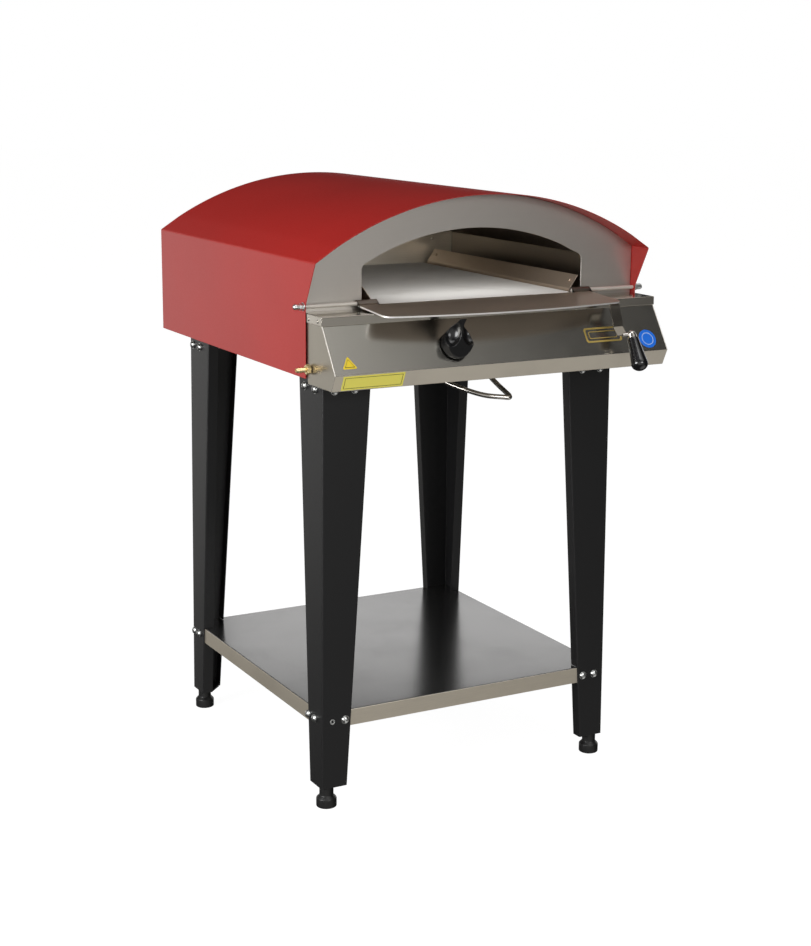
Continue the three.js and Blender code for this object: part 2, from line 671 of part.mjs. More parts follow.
// The [x, y] box of a corner piece that reaches `size` inwards from the inside of a leg.
function cornerSpan(z, side, end, clearance, size) {
  const corner = legCorner(z, end);
  const inward = end === "front" ? 1 : -1;
  const x = side * (corner.x - clearance);
  const y = corner.y + inward * clearance;
  const span = (from, length) => [from, from + length].sort((a, b) => a - b);
  return { x: span(x, -side * size), y: span(y, inward * size), cornerX: x, cornerY: y };
}

function cornerBracket(side, end) {
  const { thick, reach, ledge } = BRACKET;
  const inset = LEG.sheet + BRACKET.clearance;
  const z = [BRACKET.bottom, PAN.bottom - GAP];
  const inward = end === "front" ? 1 : -1;
  const span = cornerSpan(z[1], side, end, inset, reach);
  const strip = (from, step) => [from, from + step].sort((a, b) => a - b);
  const cornerBlock = join(
    box(span.x, strip(span.cornerY, inward * thick), z),
    box(strip(span.cornerX, -side * thick), span.y, z),
  );
  const shoulder = cornerSpan(z[1], side, end, inset, ledge);
  return join(cornerBlock, box(shoulder.x, shoulder.y, [z[1] - thick, z[1]]));
}

function footCentre(side, end) {
  const corner = legCorner(LEG.bottomZ, end);
  const inward = end === "front" ? 1 : -1;
  return new THREE.Vector3(side * (corner.x - FOOT.inset), corner.y + inward * FOOT.inset, 0);
}

// A plate across the bottom of the leg, cut off from lip to lip so that it stays inside the fold.
function footPlate(side, end) {
  const { thick, size, lip } = FOOT_PLATE;
  const low = LEG.bottomZ + 0.2;
  const { cornerX, cornerY } = cornerSpan(low + thick, side, end, LEG.sheet + BRACKET.clearance, size);
  const inward = end === "front" ? 1 : -1;
  const outline = [[0, 0], [size, 0], [size, lip], [lip, size], [0, size]]
    .map(([a, b]) => [cornerX - side * a, cornerY + inward * b]);
  const plate = prism(side * inward < 0 ? outline : outline.reverse(), "z", low, low + thick);
  const centre = footCentre(side, end);
  const hole = rod([centre.x, centre.y, low - 1], [centre.x, centre.y, low + 10], FOOT.stud + 0.3);
  return cut(plate, hole);
}

function footPad(side, end) {
  const { radius, neck, shoulder, stud, socket } = FOOT;
  const top = LEG.bottomZ - 0.3;
  const profile = [
    [0, 0], [radius - 2, 0], [radius, 2], [radius, shoulder], [neck, shoulder + 6], [neck, top],
    [stud + 0.3, top], [stud + 0.3, socket], [0, socket],
  ];
  return turned(profile, footCentre(side, end), Z, 20);
}

function footStud(side, end) {
  const { x, y } = footCentre(side, end);
  return rod([x, y, FOOT.socket + GAP], [x, y, FOOT.studTop], FOOT.stud, 14);
}

function shelf() {
  const { half, front, rear, top, flange } = SHELF;
  const tub = box([-half, half], [front, rear], [top - flange, top]);
  return cut(tub, box([SHEET - half, half - SHEET], [front + SHEET, rear - SHEET], [0, top - SHEET]));
}

// ---------------------------------------------------------------- assembly
add("hood_shell", hoodShell(), RED, 0.4);
steel("rear_panel", rearPanel());
steel("front_fascia", frontFascia());
steel("base_pan", basePan(), 0.45);
steel("chamber_liner", chamberLiner());
steel("chamber_rear_wall", chamberRearWall());
steel("chamber_floor", chamberFloor());
add("insulation_blanket", insulationBlanket(), FIBRE, 0.95);
add("rear_insulation", rearInsulation(), FIBRE, 0.95);
add("floor_insulation", floorInsulation(), FIBRE, 0.95);
add("baking_stone", bakingStone(), STONE, 0.8);

for (const [hand, place] of [["right", (part) => part], ["left", mirrored]]) {
  steel(`deck_rail_${hand}`, place(deckRail()), 0.45);
  steel(`floor_support_${hand}`, place(floorSupport()), 0.45);
  steel(`flame_guard_${hand}`, place(flameGuard()));
  steel(`burner_tube_${hand}`, place(burnerTube()), 0.4);
  steel(`tray_runner_${hand}`, place(trayRunner()), 0.45);
  add(`hinge_pin_${hand}`, hingePin(hand === "right" ? 1 : -1), ZINC, 0.25, 1);
}

steel("control_panel", controlPanel());
steel("top_cover", topCover());
add("hose_nozzle", hoseNozzle(), BRASS, 0.3, 1);
add("gas_inlet_pipe", gasInlet(), BRASS, 0.4, 1);
add("gas_valve", gasValve(), BRASS, 0.4, 1);
add("gas_manifold", gasManifold(), STEEL, 0.4, 1);
add("thermocouple", thermocouple(), BRASS, 0.4, 1);
add("spindle_collar", spindleCollar(), ZINC, 0.3, 1);
add("valve_spindle", valveSpindle(), ZINC, 0.3, 1);
add("control_knob", controlKnob(), BLACK, 0.2);

steel("door_plate", doorPlate(), 0.35);
steel("handle_arm", handleArm(), 0.2);
add("handle_grip", handleGrip(), BLACK, 0.15);

steel("crumb_tray", crumbTray(), 0.4);
steel("tray_pull", trayPull(), 0.2);

steel("shelf", shelf());
for (const [corner, side, end] of CORNERS) {
  black(`leg_${corner}`, leg(side, end));
  add(`corner_bracket_${corner}`, cornerBracket(side, end), ZINC, 0.4, 1);
  black(`foot_plate_${corner}`, footPlate(side, end));
  black(`foot_pad_${corner}`, footPad(side, end));
  add(`foot_stud_${corner}`, footStud(side, end), ZINC, 0.3, 1);
}

export default root;
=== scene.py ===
"""The looks of a gas pizza oven on its stand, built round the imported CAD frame. Lengths are in
millimetres until a piece is made, which turns them into metres. -Y is the oven's front."""
import math
import random

import bmesh
import bpy
from mathutils import Matrix, Quaternion, Vector

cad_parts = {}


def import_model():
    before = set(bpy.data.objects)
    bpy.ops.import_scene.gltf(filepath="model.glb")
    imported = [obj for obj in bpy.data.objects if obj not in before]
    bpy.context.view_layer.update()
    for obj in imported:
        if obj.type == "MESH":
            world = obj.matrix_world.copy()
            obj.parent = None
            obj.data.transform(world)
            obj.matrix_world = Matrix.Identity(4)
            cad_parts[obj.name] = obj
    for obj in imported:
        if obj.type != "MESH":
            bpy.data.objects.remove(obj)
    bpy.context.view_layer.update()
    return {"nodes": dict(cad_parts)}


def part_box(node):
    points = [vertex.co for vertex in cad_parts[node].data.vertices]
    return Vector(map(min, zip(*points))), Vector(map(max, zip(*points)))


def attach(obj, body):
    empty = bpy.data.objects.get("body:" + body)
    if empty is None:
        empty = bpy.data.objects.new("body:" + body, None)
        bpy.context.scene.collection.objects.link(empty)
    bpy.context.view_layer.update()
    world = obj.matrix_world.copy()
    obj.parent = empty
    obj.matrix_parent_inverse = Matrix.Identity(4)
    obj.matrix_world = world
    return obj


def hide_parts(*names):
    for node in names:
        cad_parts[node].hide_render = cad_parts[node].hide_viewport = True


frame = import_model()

MM = 0.001
random.seed(11)


# ---------------------------------------------------------------- places, from the frame
def span(node):
    """The (low, high) of a CAD node on each axis, in millimetres."""
    low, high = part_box(node)
    return [(low[i] / MM, high[i] / MM) for i in range(3)]


HOOD = span("hood_shell")
HOOD_HALF, HOOD_REAR, HOOD_FRONT = HOOD[0][1], HOOD[1][1], HOOD[1][0]
HOOD_BOTTOM, HOOD_APEX = HOOD[2]
FASCIA_FRONT = span("front_fascia")[1][0]
FASCIA_BOTTOM = span("front_fascia")[2][0]
COVER = span("top_cover")
COVER_HALF, COVER_FRONT, COVER_TOP = COVER[0][1], COVER[1][0], COVER[2][1]
PANEL = span("control_panel")
LINER = span("chamber_liner")
STONE = span("baking_stone")
SHELF = span("shelf")
DOOR = span("door_plate")

# Sizes that the boxes don't give.
SHEET = 1.5
THIN = 1.2
WALL_FRONT = -276.8  # the hood's walls stop here, below the knee
KNEE, EAVE = 1031.9, 1113.7
MOUTH_HALF, MOUTH_SILL, MOUTH_EAVE, MOUTH_APEX = 252.7, 1004, 1099, 1163
LINER_EAVE = 1095
PANEL_REAR = -280.8
NOSE, HEEL = (PANEL[1][0], 914.4), (-383.6, PANEL[2][0])
HINGE_Y, HINGE_Z = -268.5, 1028
DOOR_SLOPE = math.radians(4.2)
DOOR_DROP, DOOR_THICK = 1.86, 3
KNUCKLE_IN, KNUCKLE_OUT = 225, DOOR[0][1]
NOZZLE_Y, NOZZLE_Z = -292, 912
CORNERS = [
    ("front_left", -1, 1), ("front_right", 1, 1), ("rear_left", -1, -1), ("rear_right", 1, -1),
]


# ---------------------------------------------------------------- materials
class Shader:
    """A Principled material, with short calls for the nodes that vary it over the surface."""

    def __init__(self, name, colour, roughness, metallic=0.0, **sockets):
        self.material = bpy.data.materials.new(name)
        self.material.use_nodes = True
        self.tree = self.material.node_tree
        self.bsdf = self.tree.nodes["Principled BSDF"]
        self.colour = colour
        self.set("Base Color", (*colour, 1))
        self.set("Roughness", roughness)
        self.set("Metallic", metallic)
        for socket, value in sockets.items():
            self.set(socket.replace("_", " "), value)

    def set(self, socket, value):
        self.bsdf.inputs[socket].default_value = value

    def link(self, value, socket):
        self.tree.links.new(value, self.bsdf.inputs[socket])

    def node(self, kind, inputs=(), **settings):
        made = self.tree.nodes.new("ShaderNode" + kind)
        for key, value in settings.items():
            setattr(made, key, value)
        for key, value in dict(inputs).items():
            if isinstance(value, bpy.types.NodeSocket):
                self.tree.links.new(value, made.inputs[key])
            else:
                made.inputs[key].default_value = value
        return made

    def noise(self, stretch, detail=3.0, roughness=0.5, shift=0.0):
        """Noise whose waves per metre along X, Y and Z are `stretch`."""
        where = self.node("TexCoord").outputs["Object"]
        place = {"Vector": where, "Scale": stretch, "Location": (shift, shift, shift)}
        mapped = self.node("Mapping", place).outputs["Vector"]
        waves = {"Vector": mapped, "Scale": 1.0, "Detail": detail, "Roughness": roughness}
        return self.node("TexNoise", waves).outputs["Fac"]

    def ranged(self, value, low, high, start=0.3, stop=0.7):
        settings = {
            "Value": value, "From Min": start, "From Max": stop, "To Min": low, "To Max": high,
        }
        return self.node("MapRange", settings).outputs["Result"]

    def shades(self, value, dark, light, start=0.3, stop=0.7):
        """Vary the colour between `dark` and `light` times the material's own."""
        tones = [(*(min(1, c * k) for c in self.colour), 1) for k in (dark, light)]
        factor = self.ranged(value, 0, 1, start, stop)
        mix = self.node("Mix", {0: factor, 6: tones[0], 7: tones[1]}, data_type="RGBA")
        self.link(mix.outputs[2], "Base Color")
        return mix

    def stains(self, mix, value, colour, start, stop, amount):
        """Lay another colour over a mix where `value` is high."""
        factor = self.ranged(value, 0, amount, start, stop)
        inputs = {0: factor, 6: mix.outputs[2], 7: (*colour, 1)}
        over = self.node("Mix", inputs, data_type="RGBA")
        self.link(over.outputs[2], "Base Color")
        return over

    def bump(self, height, strength, distance_mm):
        inputs = {"Height": height, "Strength": strength, "Distance": distance_mm * MM}
        self.link(self.node("Bump", inputs).outputs["Normal"], "Normal")


def brushed(name, colour, roughness, grain, contrast=0.012, smudge=0.05, metallic=1.0):
    """Stainless steel with its grain along one axis and faint handling marks."""
    made = Shader(name, colour, roughness, metallic)
    along, across = 14, 1500
    stretch = [across] * 3
    stretch["xyz".index(grain)] = along
    streaks = made.noise(stretch, detail=3)
    marks = made.noise((7, 7, 7), detail=5, roughness=0.6, shift=2.3)
    mix = made.shades(streaks, 1 - contrast, 1 + contrast)
    made.stains(mix, marks, [c * 0.8 for c in colour], 0.5, 0.75, 0.3)
    rough = made.ranged(streaks, roughness - 0.01, roughness + 0.015)
    smudged = made.node("Math", {0: made.ranged(marks, 0, smudge), 1: rough}, operation="ADD")
    made.link(smudged.outputs[0], "Roughness")
    made.bump(streaks, 0.01, 0.004)
    return made.material


def powder_coat(name, colour, roughness, peel, variation=0.06, **sockets):
    """Baked paint: a fine orange peel over the sheet, and a slow drift of tone."""
    made = Shader(name, colour, roughness, 0.0, **sockets)
    drift = made.noise((3.5, 3.5, 3.5), detail=3)
    made.shades(drift, 1 - variation, 1 + variation)
    grain = made.noise((620, 620, 620), detail=2)
    made.link(made.ranged(grain, roughness - 0.04, roughness + 0.05), "Roughness")
    made.bump(grain, peel, 0.12)
    return made.material


def polished(name, colour, roughness, metallic, grain=180, marks=0.05, **sockets):
    """A smooth machined, plated or moulded surface with light marks."""
    made = Shader(name, colour, roughness, metallic, **sockets)
    cloud = made.noise((grain / 6,) * 3, detail=4)
    made.shades(cloud, 0.92, 1.06)
    made.link(made.ranged(cloud, roughness, roughness + marks), "Roughness")
    made.bump(made.noise((grain,) * 3, detail=3), 0.05, 0.1)
    return made.material


def refractory():
    made = Shader("refractory_stone", (0.78, 0.77, 0.74), 0.8)
    speckle = made.noise((420, 420, 420), detail=6, roughness=0.7)
    mix = made.shades(speckle, 0.9, 1.06)
    scorch = made.noise((9, 9, 9), detail=5, shift=1.7)
    made.stains(mix, scorch, (0.30, 0.26, 0.21), 0.55, 0.85, 0.4)
    made.bump(speckle, 0.5, 0.35)
    return made.material


def fibre():
    made = Shader("ceramic_fibre", (0.80, 0.78, 0.72), 1.0)
    tufts = made.noise((300, 300, 60), detail=8, roughness=0.8)
    made.shades(tufts, 0.85, 1.1)
    made.bump(tufts, 1.0, 1.5)
    return made.material


RED = powder_coat("red_powder_coat", (0.34, 0.0135, 0.0105), 0.36, 0.08)
BLACK = powder_coat("black_powder_coat", (0.006, 0.006, 0.0065), 0.42, 0.14)
CASING = brushed("casing_steel", (0.56, 0.54, 0.49), 0.18, "x")
# A lighter, warmer copy of the casing steel for the chamfer under the nose: painted light for the bright
# floor it mirrors.
CHAMFER_LIT_STEEL = brushed("chamfer_lit_steel", (0.66, 0.61, 0.52), 0.45, "x")
COVER_STEEL = brushed("cover_steel", (0.66, 0.62, 0.55), 0.13, "x")
CHEEK = brushed("cheek_steel", (0.56, 0.52, 0.44), 0.3, "z")
FASCIA_STEEL = brushed("fascia_steel", (0.56, 0.53, 0.49), 0.4, "x")
LINER_STEEL = brushed("liner_steel", (0.27, 0.225, 0.18), 0.35, "y", contrast=0.05)
REAR_WALL = brushed("rear_wall_steel", (0.62, 0.58, 0.49), 0.42, "x", contrast=0.05)
GUARD = brushed("guard_steel", (0.66, 0.54, 0.43), 0.36, "y", metallic=0.88)
DOOR_STEEL = brushed("door_steel", (0.55, 0.455, 0.375), 0.32, "x", contrast=0.03, metallic=0.86)
# A dark copy of the door steel: painted shade for the leaf's underside and its knuckles.
DOOR_UNDER_SHADE = brushed("door_underside_painted_shade", (0.24, 0.205, 0.175), 0.3, "x")
# A near-white copy of the door steel: a painted highlight along the leaf's edges.
DOOR_EDGE_HIGHLIGHT = brushed("door_edge_painted_highlight", (0.95, 0.93, 0.90), 0.42, "x", metallic=0.75)
SHELF_STEEL = brushed("shelf_steel", (0.50, 0.495, 0.49), 0.2, "y", contrast=0.012, smudge=0.02)
# The rear cover's, base pan's and runners' own lighter steel; on the shelf's bent edges it is painted
# light.
FLANGE_STEEL = brushed("flange_steel", (0.80, 0.73, 0.61), 0.45, "x", contrast=0.05)
STRIP = polished("strip_steel", (0.34, 0.31, 0.265), 0.22, 1.0)
BRIGHT = polished("bright_steel", (0.60, 0.57, 0.53), 0.16, 1.0)
PIN_STEEL = polished("pin_steel", (0.74, 0.70, 0.64), 0.3, 0.45)
ZINC = polished("zinc_plate", (0.70, 0.71, 0.70), 0.24, 1.0, marks=0.12)
BRASS = polished("brass", (0.98, 0.78, 0.42), 0.3, 0.95)
COPPER = polished("copper", (0.72, 0.40, 0.25), 0.3, 1.0)
PHENOLIC = polished("black_phenolic", (0.006, 0.006, 0.0065), 0.17, 0.0, grain=90, Coat_Weight=0.6)
KNOB_BLACK = polished("knob_black", (0.005, 0.005, 0.0055), 0.24, 0.0, grain=90, Coat_Weight=0.5,
                      Coat_Roughness=0.12, Specular_IOR_Level=0.3)
NYLON = polished("black_nylon", (0.008, 0.008, 0.008), 0.38, 0.0, grain=300)
STONE_LOOK = refractory()
FIBRE = fibre()
YELLOW = powder_coat("yellow_label", (0.74, 0.55, 0.02), 0.35, 0.02, 0.02)
# The long label's yellow, lifted to full brightness: its own pale yellow plus painted light for the bounce
# from the floor.
PALE_YELLOW = powder_coat("pale_yellow_label", (1.0, 0.90, 0.14), 0.35, 0.02, 0.02)
LABEL_INK = powder_coat("label_ink", (0.10, 0.08, 0.02), 0.4, 0.02, 0.02)
BLUE = powder_coat("blue_label", (0.01, 0.16, 0.75), 0.35, 0.02, 0.02)
PALE_INK = powder_coat("pale_ink", (0.55, 0.68, 0.85), 0.4, 0.02, 0.02)
GOLD = polished("gold_foil", (0.62, 0.45, 0.12), 0.35, 0.4)


# ---------------------------------------------------------------- outlines
def fillet(path, radius, steps=5):
    """An open path of 2-D points with its corners rounded."""
    points = [Vector(path[0])]
    for before, corner, after in zip(path, path[1:], path[2:]):
        before, corner, after = Vector(before), Vector(corner), Vector(after)
        back, ahead = (before - corner).normalized(), (after - corner).normalized()
        half = back.angle(ahead) / 2
        shorter = min((before - corner).length, (after - corner).length)
        reach = min(radius / math.tan(half), 0.45 * shorter)
        arc = reach * math.tan(half)
        centre = corner + (back + ahead).normalized() * (arc / math.sin(half))
        start = corner + back * reach - centre
        turn = (math.pi - 2 * half) * (1 if back.cross(ahead) < 0 else -1)
        for i in range(steps + 1):
            swing = Matrix.Rotation(turn * i / steps, 2)
            points.append(centre + swing @ start)
    points.append(Vector(path[-1]))
    return [tuple(point) for point in points]


def offset(path, distance):
    """An open path moved sideways, to the left of the way it runs."""
    points = [Vector(point) for point in path]
    moved = []
    for i, point in enumerate(points):
        before = (points[max(i, 1)] - points[max(i, 1) - 1]).normalized()
        nxt = min(i + 1, len(points) - 1)
        after = (points[nxt] - points[nxt - 1]).normalized()
        left, right = Vector((-before.y, before.x)), Vector((-after.y, after.x))
        mitre = (left + right).normalized()
        moved.append(tuple(point + mitre * (distance / max(mitre.dot(right), 0.2))))
    return moved


def ribbon(path, thick):
    """The outline of sheet of even thickness that lies to the left of a path."""
    return list(path) + offset(path, thick)[::-1]


def arc_points(half, eave, apex, steps):
    """The [x, z] points of an arch's crown, from left to right."""
    rise = apex - eave
    radius = (half * half + rise * rise) / (2 * rise)
    reach = math.asin(half / radius)
    angles = [reach * (2 * i / steps - 1) for i in range(steps + 1)]
    return [(radius * math.sin(a), apex - radius + radius * math.cos(a)) for a in angles]


def arch(half, bottom, eave, apex, steps=72):
    return [(-half, bottom), *arc_points(half, eave, apex, steps), (half, bottom)]


def rectangle(half_wide, half_high, x=0.0, y=0.0):
    """The corners of a rectangle about a point."""
    return [
        (x - half_wide, y - half_high), (x + half_wide, y - half_high),
        (x + half_wide, y + half_high), (x - half_wide, y + half_high),
    ]


def round_outline(points, radius, steps=6):
    """A closed outline with every corner rounded."""
    last, first = points[-1], points[0]
    middle = ((last[0] + first[0]) / 2, (last[1] + first[1]) / 2)
    return fillet([middle, *points, middle], radius, steps)[:-1]


def through(points, steps=8):
    """Points along a Catmull-Rom curve through some points."""
    points = [Vector(point) for point in points]
    ends = [2 * points[0] - points[1], *points, 2 * points[-1] - points[-2]]
    curve = []
    for a, b, c, d in zip(ends, ends[1:], ends[2:], ends[3:]):
        for i in range(steps):
            t = i / steps
            curve.append(0.5 * (
                2 * b + (c - a) * t + (2 * a - 5 * b + 4 * c - d) * t ** 2
                + (3 * b - a - 3 * c + d) * t ** 3
            ))
    return [*curve, points[-1]]


# ---------------------------------------------------------------- solids
TURNS = {
    "x": Matrix(((0, 0, 1), (1, 0, 0), (0, 1, 0))),
    "y": Matrix(((1, 0, 0), (0, 0, 1), (0, 1, 0))),
    "z": Matrix.Identity(3),
}


def prism(bm, outline, axis, low, high, holes=()):
    """Push a 2-D outline, and holes in it, along one axis."""
    turn = TURNS[axis]
    edges = []
    for loop in [outline, *holes]:
        verts = [bm.verts.new(turn @ Vector((a, b, low))) for a, b in loop]
        edges += [bm.edges.new((v, verts[(i + 1) % len(verts)])) for i, v in enumerate(verts)]
    if holes:
        filled = bmesh.ops.triangle_fill(bm, edges=edges, use_beauty=True)["geom"]
        faces = [f for f in filled if isinstance(f, bmesh.types.BMFace)]
    else:
        faces = [bm.faces.new([edge.verts[0] for edge in edges])]
    region = faces + list({e for f in faces for e in f.edges}) + list({v for f in faces for v in f.verts})
    made = bmesh.ops.extrude_face_region(bm, geom=region, use_keep_orig=True)["geom"]
    push = turn @ Vector((0, 0, high - low))
    bmesh.ops.translate(bm, vec=push, verts=[v for v in made if isinstance(v, bmesh.types.BMVert)])


def block(bm, x, y, z):
    prism(bm, [(x[0], y[0]), (x[1], y[0]), (x[1], y[1]), (x[0], y[1])], "z", *z)


def rings_to_faces(bm, rings, closed):
    pairs = list(zip(rings, rings[1:])) + ([(rings[-1], rings[0])] if closed else [])
    for one, other in pairs:
        count = max(len(one), len(other))
        for i in range(count):
            j = (i + 1) % count
            corners = [one[i % len(one)], one[j % len(one)], other[j % len(other)], other[i % len(other)]]
            unique = list(dict.fromkeys(corners))
            if len(unique) > 2:
                bm.faces.new(unique)


def lathe(bm, profile, base, direction=(0, 0, 1), sides=48):
    """Turn a [radius, height] profile about a line. It starts and ends on the line, or closes."""
    aim = Vector((0, 0, 1)).rotation_difference(Vector(direction).normalized())
    closed = profile[0] == profile[-1]
    rings = []
    for radius, height in profile[:-1] if closed else profile:
        count = sides if radius > 1e-6 else 1
        angles = [2 * math.pi * i / sides for i in range(count)]
        ring = [Vector((radius * math.cos(a), radius * math.sin(a), height)) for a in angles]
        rings.append([bm.verts.new(Vector(base) + aim @ point) for point in ring])
    rings_to_faces(bm, rings, closed)


def sweep(bm, path, radius, sides=16):
    """A round bar along a path of points, with flat ends."""
    points = [Vector(point) for point in path]
    along = (points[1] - points[0]).normalized()
    side = along.orthogonal().normalized()
    rings = []
    for i, point in enumerate(points):
        ahead = (points[min(i + 1, len(points) - 1)] - points[max(i - 1, 0)]).normalized()
        side = (along.rotation_difference(ahead) @ side).normalized()
        along = ahead
        up = along.cross(side)
        angles = [2 * math.pi * k / sides for k in range(sides)]
        rings.append([
            bm.verts.new(point + radius * (side * math.cos(a) + up * math.sin(a))) for a in angles
        ])
    rings_to_faces(bm, rings, False)
    for ring in (rings[0], rings[-1]):
        bm.faces.new(ring)


def moved(bm, start, matrix):
    """Move the vertices made since there were `start` of them."""
    bm.verts.ensure_lookup_table()
    bmesh.ops.transform(bm, matrix=matrix, verts=bm.verts[start:])


# ---------------------------------------------------------------- pieces
def piece(name, bm, material, body="oven", replaces=(), **looks):
    """Make an object of a mesh in millimetres, in metres, that rides on a CAD body."""
    bmesh.ops.recalc_face_normals(bm, faces=bm.faces)
    bmesh.ops.scale(bm, vec=(MM, MM, MM), verts=bm.verts)
    mesh = bpy.data.meshes.new(name)
    bm.to_mesh(mesh)
    bm.free()
    return placed(name, mesh, material, body, replaces, **looks)


def placed(
    name, mesh, material, body, replaces=(), bevel=0.0, segments=2, sharp=32, slot=None, moulded=0.0,
):
    """Put a mesh in the scene as a piece: its edges rounded or sharp, its body and nodes set; its slot is
    not used.
    """
    made = bpy.data.objects.new(name, mesh)
    bpy.context.scene.collection.objects.link(made)
    if not mesh.materials:
        mesh.materials.append(material)
    mesh.shade_smooth()
    if bevel:
        rounding = made.modifiers.new("rounded_edges", "BEVEL")
        rounding.width = bevel * MM
        rounding.segments = segments
        rounding.limit_method = "ANGLE"
        rounding.angle_limit = math.radians(sharp)
        rounding.harden_normals = True
    elif moulded:
        cells = made.modifiers.new("moulded_skin", "REMESH")
        cells.mode = "VOXEL"
        cells.voxel_size = moulded * MM
        cells.use_smooth_shade = True
        soft = made.modifiers.new("soft_edges", "SMOOTH")
        soft.iterations = 8
    else:
        mesh.set_sharp_from_angle(angle=math.radians(sharp))
    weighted = made.modifiers.new("flat_faces", "WEIGHTED_NORMAL")
    weighted.keep_sharp = True
    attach(made, body)
    if replaces:
        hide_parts(*([replaces] if isinstance(replaces, str) else replaces))
    return made


def carved(bm, cutters):
    """The mesh with other closed meshes cut out of it."""
    objects = []
    for number, source in enumerate([bm, *cutters]):
        bmesh.ops.recalc_face_normals(source, faces=source.faces)
        mesh = bpy.data.meshes.new(f"carving_{number}")
        source.to_mesh(mesh)
        source.free()
        objects.append(bpy.data.objects.new(f"carving_{number}", mesh))
        bpy.context.scene.collection.objects.link(objects[-1])
    for cutter in objects[1:]:
        cut = objects[0].modifiers.new("cut", "BOOLEAN")
        cut.object = cutter
        cut.solver = "EXACT"
    worked_out = objects[0].evaluated_get(bpy.context.evaluated_depsgraph_get())
    result = bpy.data.meshes.new_from_object(worked_out)
    made = bmesh.new()
    made.from_mesh(result)
    bpy.data.meshes.remove(result)
    for spent in objects:
        mesh = spent.data
        bpy.data.objects.remove(spent)
        bpy.data.meshes.remove(mesh)
    return made


def dome(bm, at, direction, radius, height, foot=0.4, sides=24):
    """A rivet head or screw head."""
    steps = 6
    profile = [(0, -0.6), (radius, -0.6), (radius, foot)]
    for i in range(1, steps):
        angle = math.pi / 2 * i / steps
        profile.append((radius * math.cos(angle), foot + (height - foot) * math.sin(angle)))
    lathe(bm, [*profile, (0, height)], at, direction, sides)


# The control face slopes down from the foot of the cover's flange to the nose.
FLANGE_FOOT = COVER_TOP - 19.6
SLOPE = Vector((0, NOSE[0] - COVER_FRONT, NOSE[1] - FLANGE_FOOT)).normalized()
FACE_NORMAL = Vector((0, SLOPE.z, -SLOPE.y))
FACE_TURN = Matrix((Vector((1, 0, 0)), -SLOPE, FACE_NORMAL)).transposed().to_4x4()


def on_face(x, z, lift=0.0):
    """The matrix that stands a flat piece on the slanted control face, at a height z."""
    y = COVER_FRONT + (z - FLANGE_FOOT) * SLOPE.y / SLOPE.z
    return Matrix.Translation(Vector((x, y, z)) + FACE_NORMAL * lift) @ FACE_TURN


# ---------------------------------------------------------------- casing
def hood():
    arc = arc_points(HOOD_HALF, EAVE, HOOD_APEX, 96)
    corner = fillet([(-HOOD_HALF, KNEE), (-HOOD_HALF, EAVE), arc[6]], 4)
    crown = arc[7:-7]
    left = [(-HOOD_HALF, HOOD_BOTTOM), *corner]
    outer = [*left, *crown, *[(-x, z) for x, z in reversed(left)]]
    inner = offset(outer, -SHEET)

    def front_of(x, z):
        if z <= KNEE + 0.01:
            return WALL_FRONT
        share = min(1, (z - KNEE) / (EAVE - 6 - KNEE))
        return WALL_FRONT + share * (HOOD_FRONT - WALL_FRONT)

    bm = bmesh.new()
    rings = []
    for (x, z), (u, w) in zip(outer, inner):
        y = front_of(x, z)
        rings.append([
            bm.verts.new(point)
            for point in ((x, y, z), (x, HOOD_REAR, z), (u, HOOD_REAR, w), (u, y, w))
        ])
    rings_to_faces(bm, rings, False)
    for ring in (rings[0], rings[-1]):
        bm.faces.new(ring)
    return piece("hood", bm, RED, replaces="hood_shell", bevel=0.45, sharp=40, slot="red_enamel")


def fascia():
    bm = bmesh.new()
    inset = SHEET + 0.6
    outline = arch(HOOD_HALF - inset, FASCIA_BOTTOM, EAVE - inset * 0.25, HOOD_APEX - inset)
    sides = arch(MOUTH_HALF, MOUTH_SILL, MOUTH_EAVE, MOUTH_APEX)
    left_eave = fillet([sides[0], sides[1], sides[9]], 14)
    right_eave = fillet([sides[-10], sides[-2], sides[-1]], 14)
    mouth = [*left_eave[:-1], *sides[9:-9], *right_eave[1:]]
    prism(bm, outline, "y", FASCIA_FRONT, FASCIA_FRONT + SHEET, [mouth])
    return piece("fascia", bm, FASCIA_STEEL, replaces="front_fascia", bevel=0.5, slot="chamber_steel")


def control_box():
    half = PANEL[0][1]
    shoulder = (COVER_FRONT + 1.6, FLANGE_FOOT + 1.6 * SLOPE.z / SLOPE.y)
    path = fillet([(PANEL_REAR, HEEL[1]), HEEL, NOSE, shoulder, (COVER_FRONT + 1.6, 1010)], 1.6)
    bm = bmesh.new()
    prism(bm, ribbon(path, -THIN), "x", -half, half)
    face = piece("control_face", bm, CASING, replaces="control_panel", bevel=0.3, slot="casing_steel")
    # The chamfer below the nose gets the lighter copy of the casing steel as painted light.
    face.data.materials.append(CHAMFER_LIT_STEEL)
    for polygon in face.data.polygons:
        if polygon.center.z < NOSE[1] * MM:
            polygon.material_index = 1
    inside = offset(path, -0.3)[1:-1]
    lid = [(COVER_FRONT + 2, 1014), (PANEL_REAR, 1014)]
    outline = [(PANEL_REAR, HEEL[1] + 0.3), *inside, *lid]
    tab = [(-262, 893), (PANEL_REAR + 1, 893), (PANEL_REAR + 1, 1012), (-262, 1012)]
    for side, hand in ((-1, "left"), (1, "right")):
        bm = bmesh.new()
        prism(bm, outline, "x", *sorted((side * (half - 1.3), side * (half - 0.4))))
        prism(bm, tab, "x", *sorted((side * (half - 2.5), side * (half - 1.2))))
        piece(f"control_cheek_{hand}", bm, CHEEK, bevel=0.3, slot="casing_steel")
        # A round bead of lighter steel along the corner where the face meets the cheek is a painted
        # highlight line.
        bm = bmesh.new()
        edge = [(side * (half - 0.6), *point) for point in offset([shoulder, NOSE], 0.5)]
        sweep(bm, edge, 1.0, 12)
        piece(f"control_highlight_rim_{hand}", bm, PIN_STEEL, slot="casing_steel")


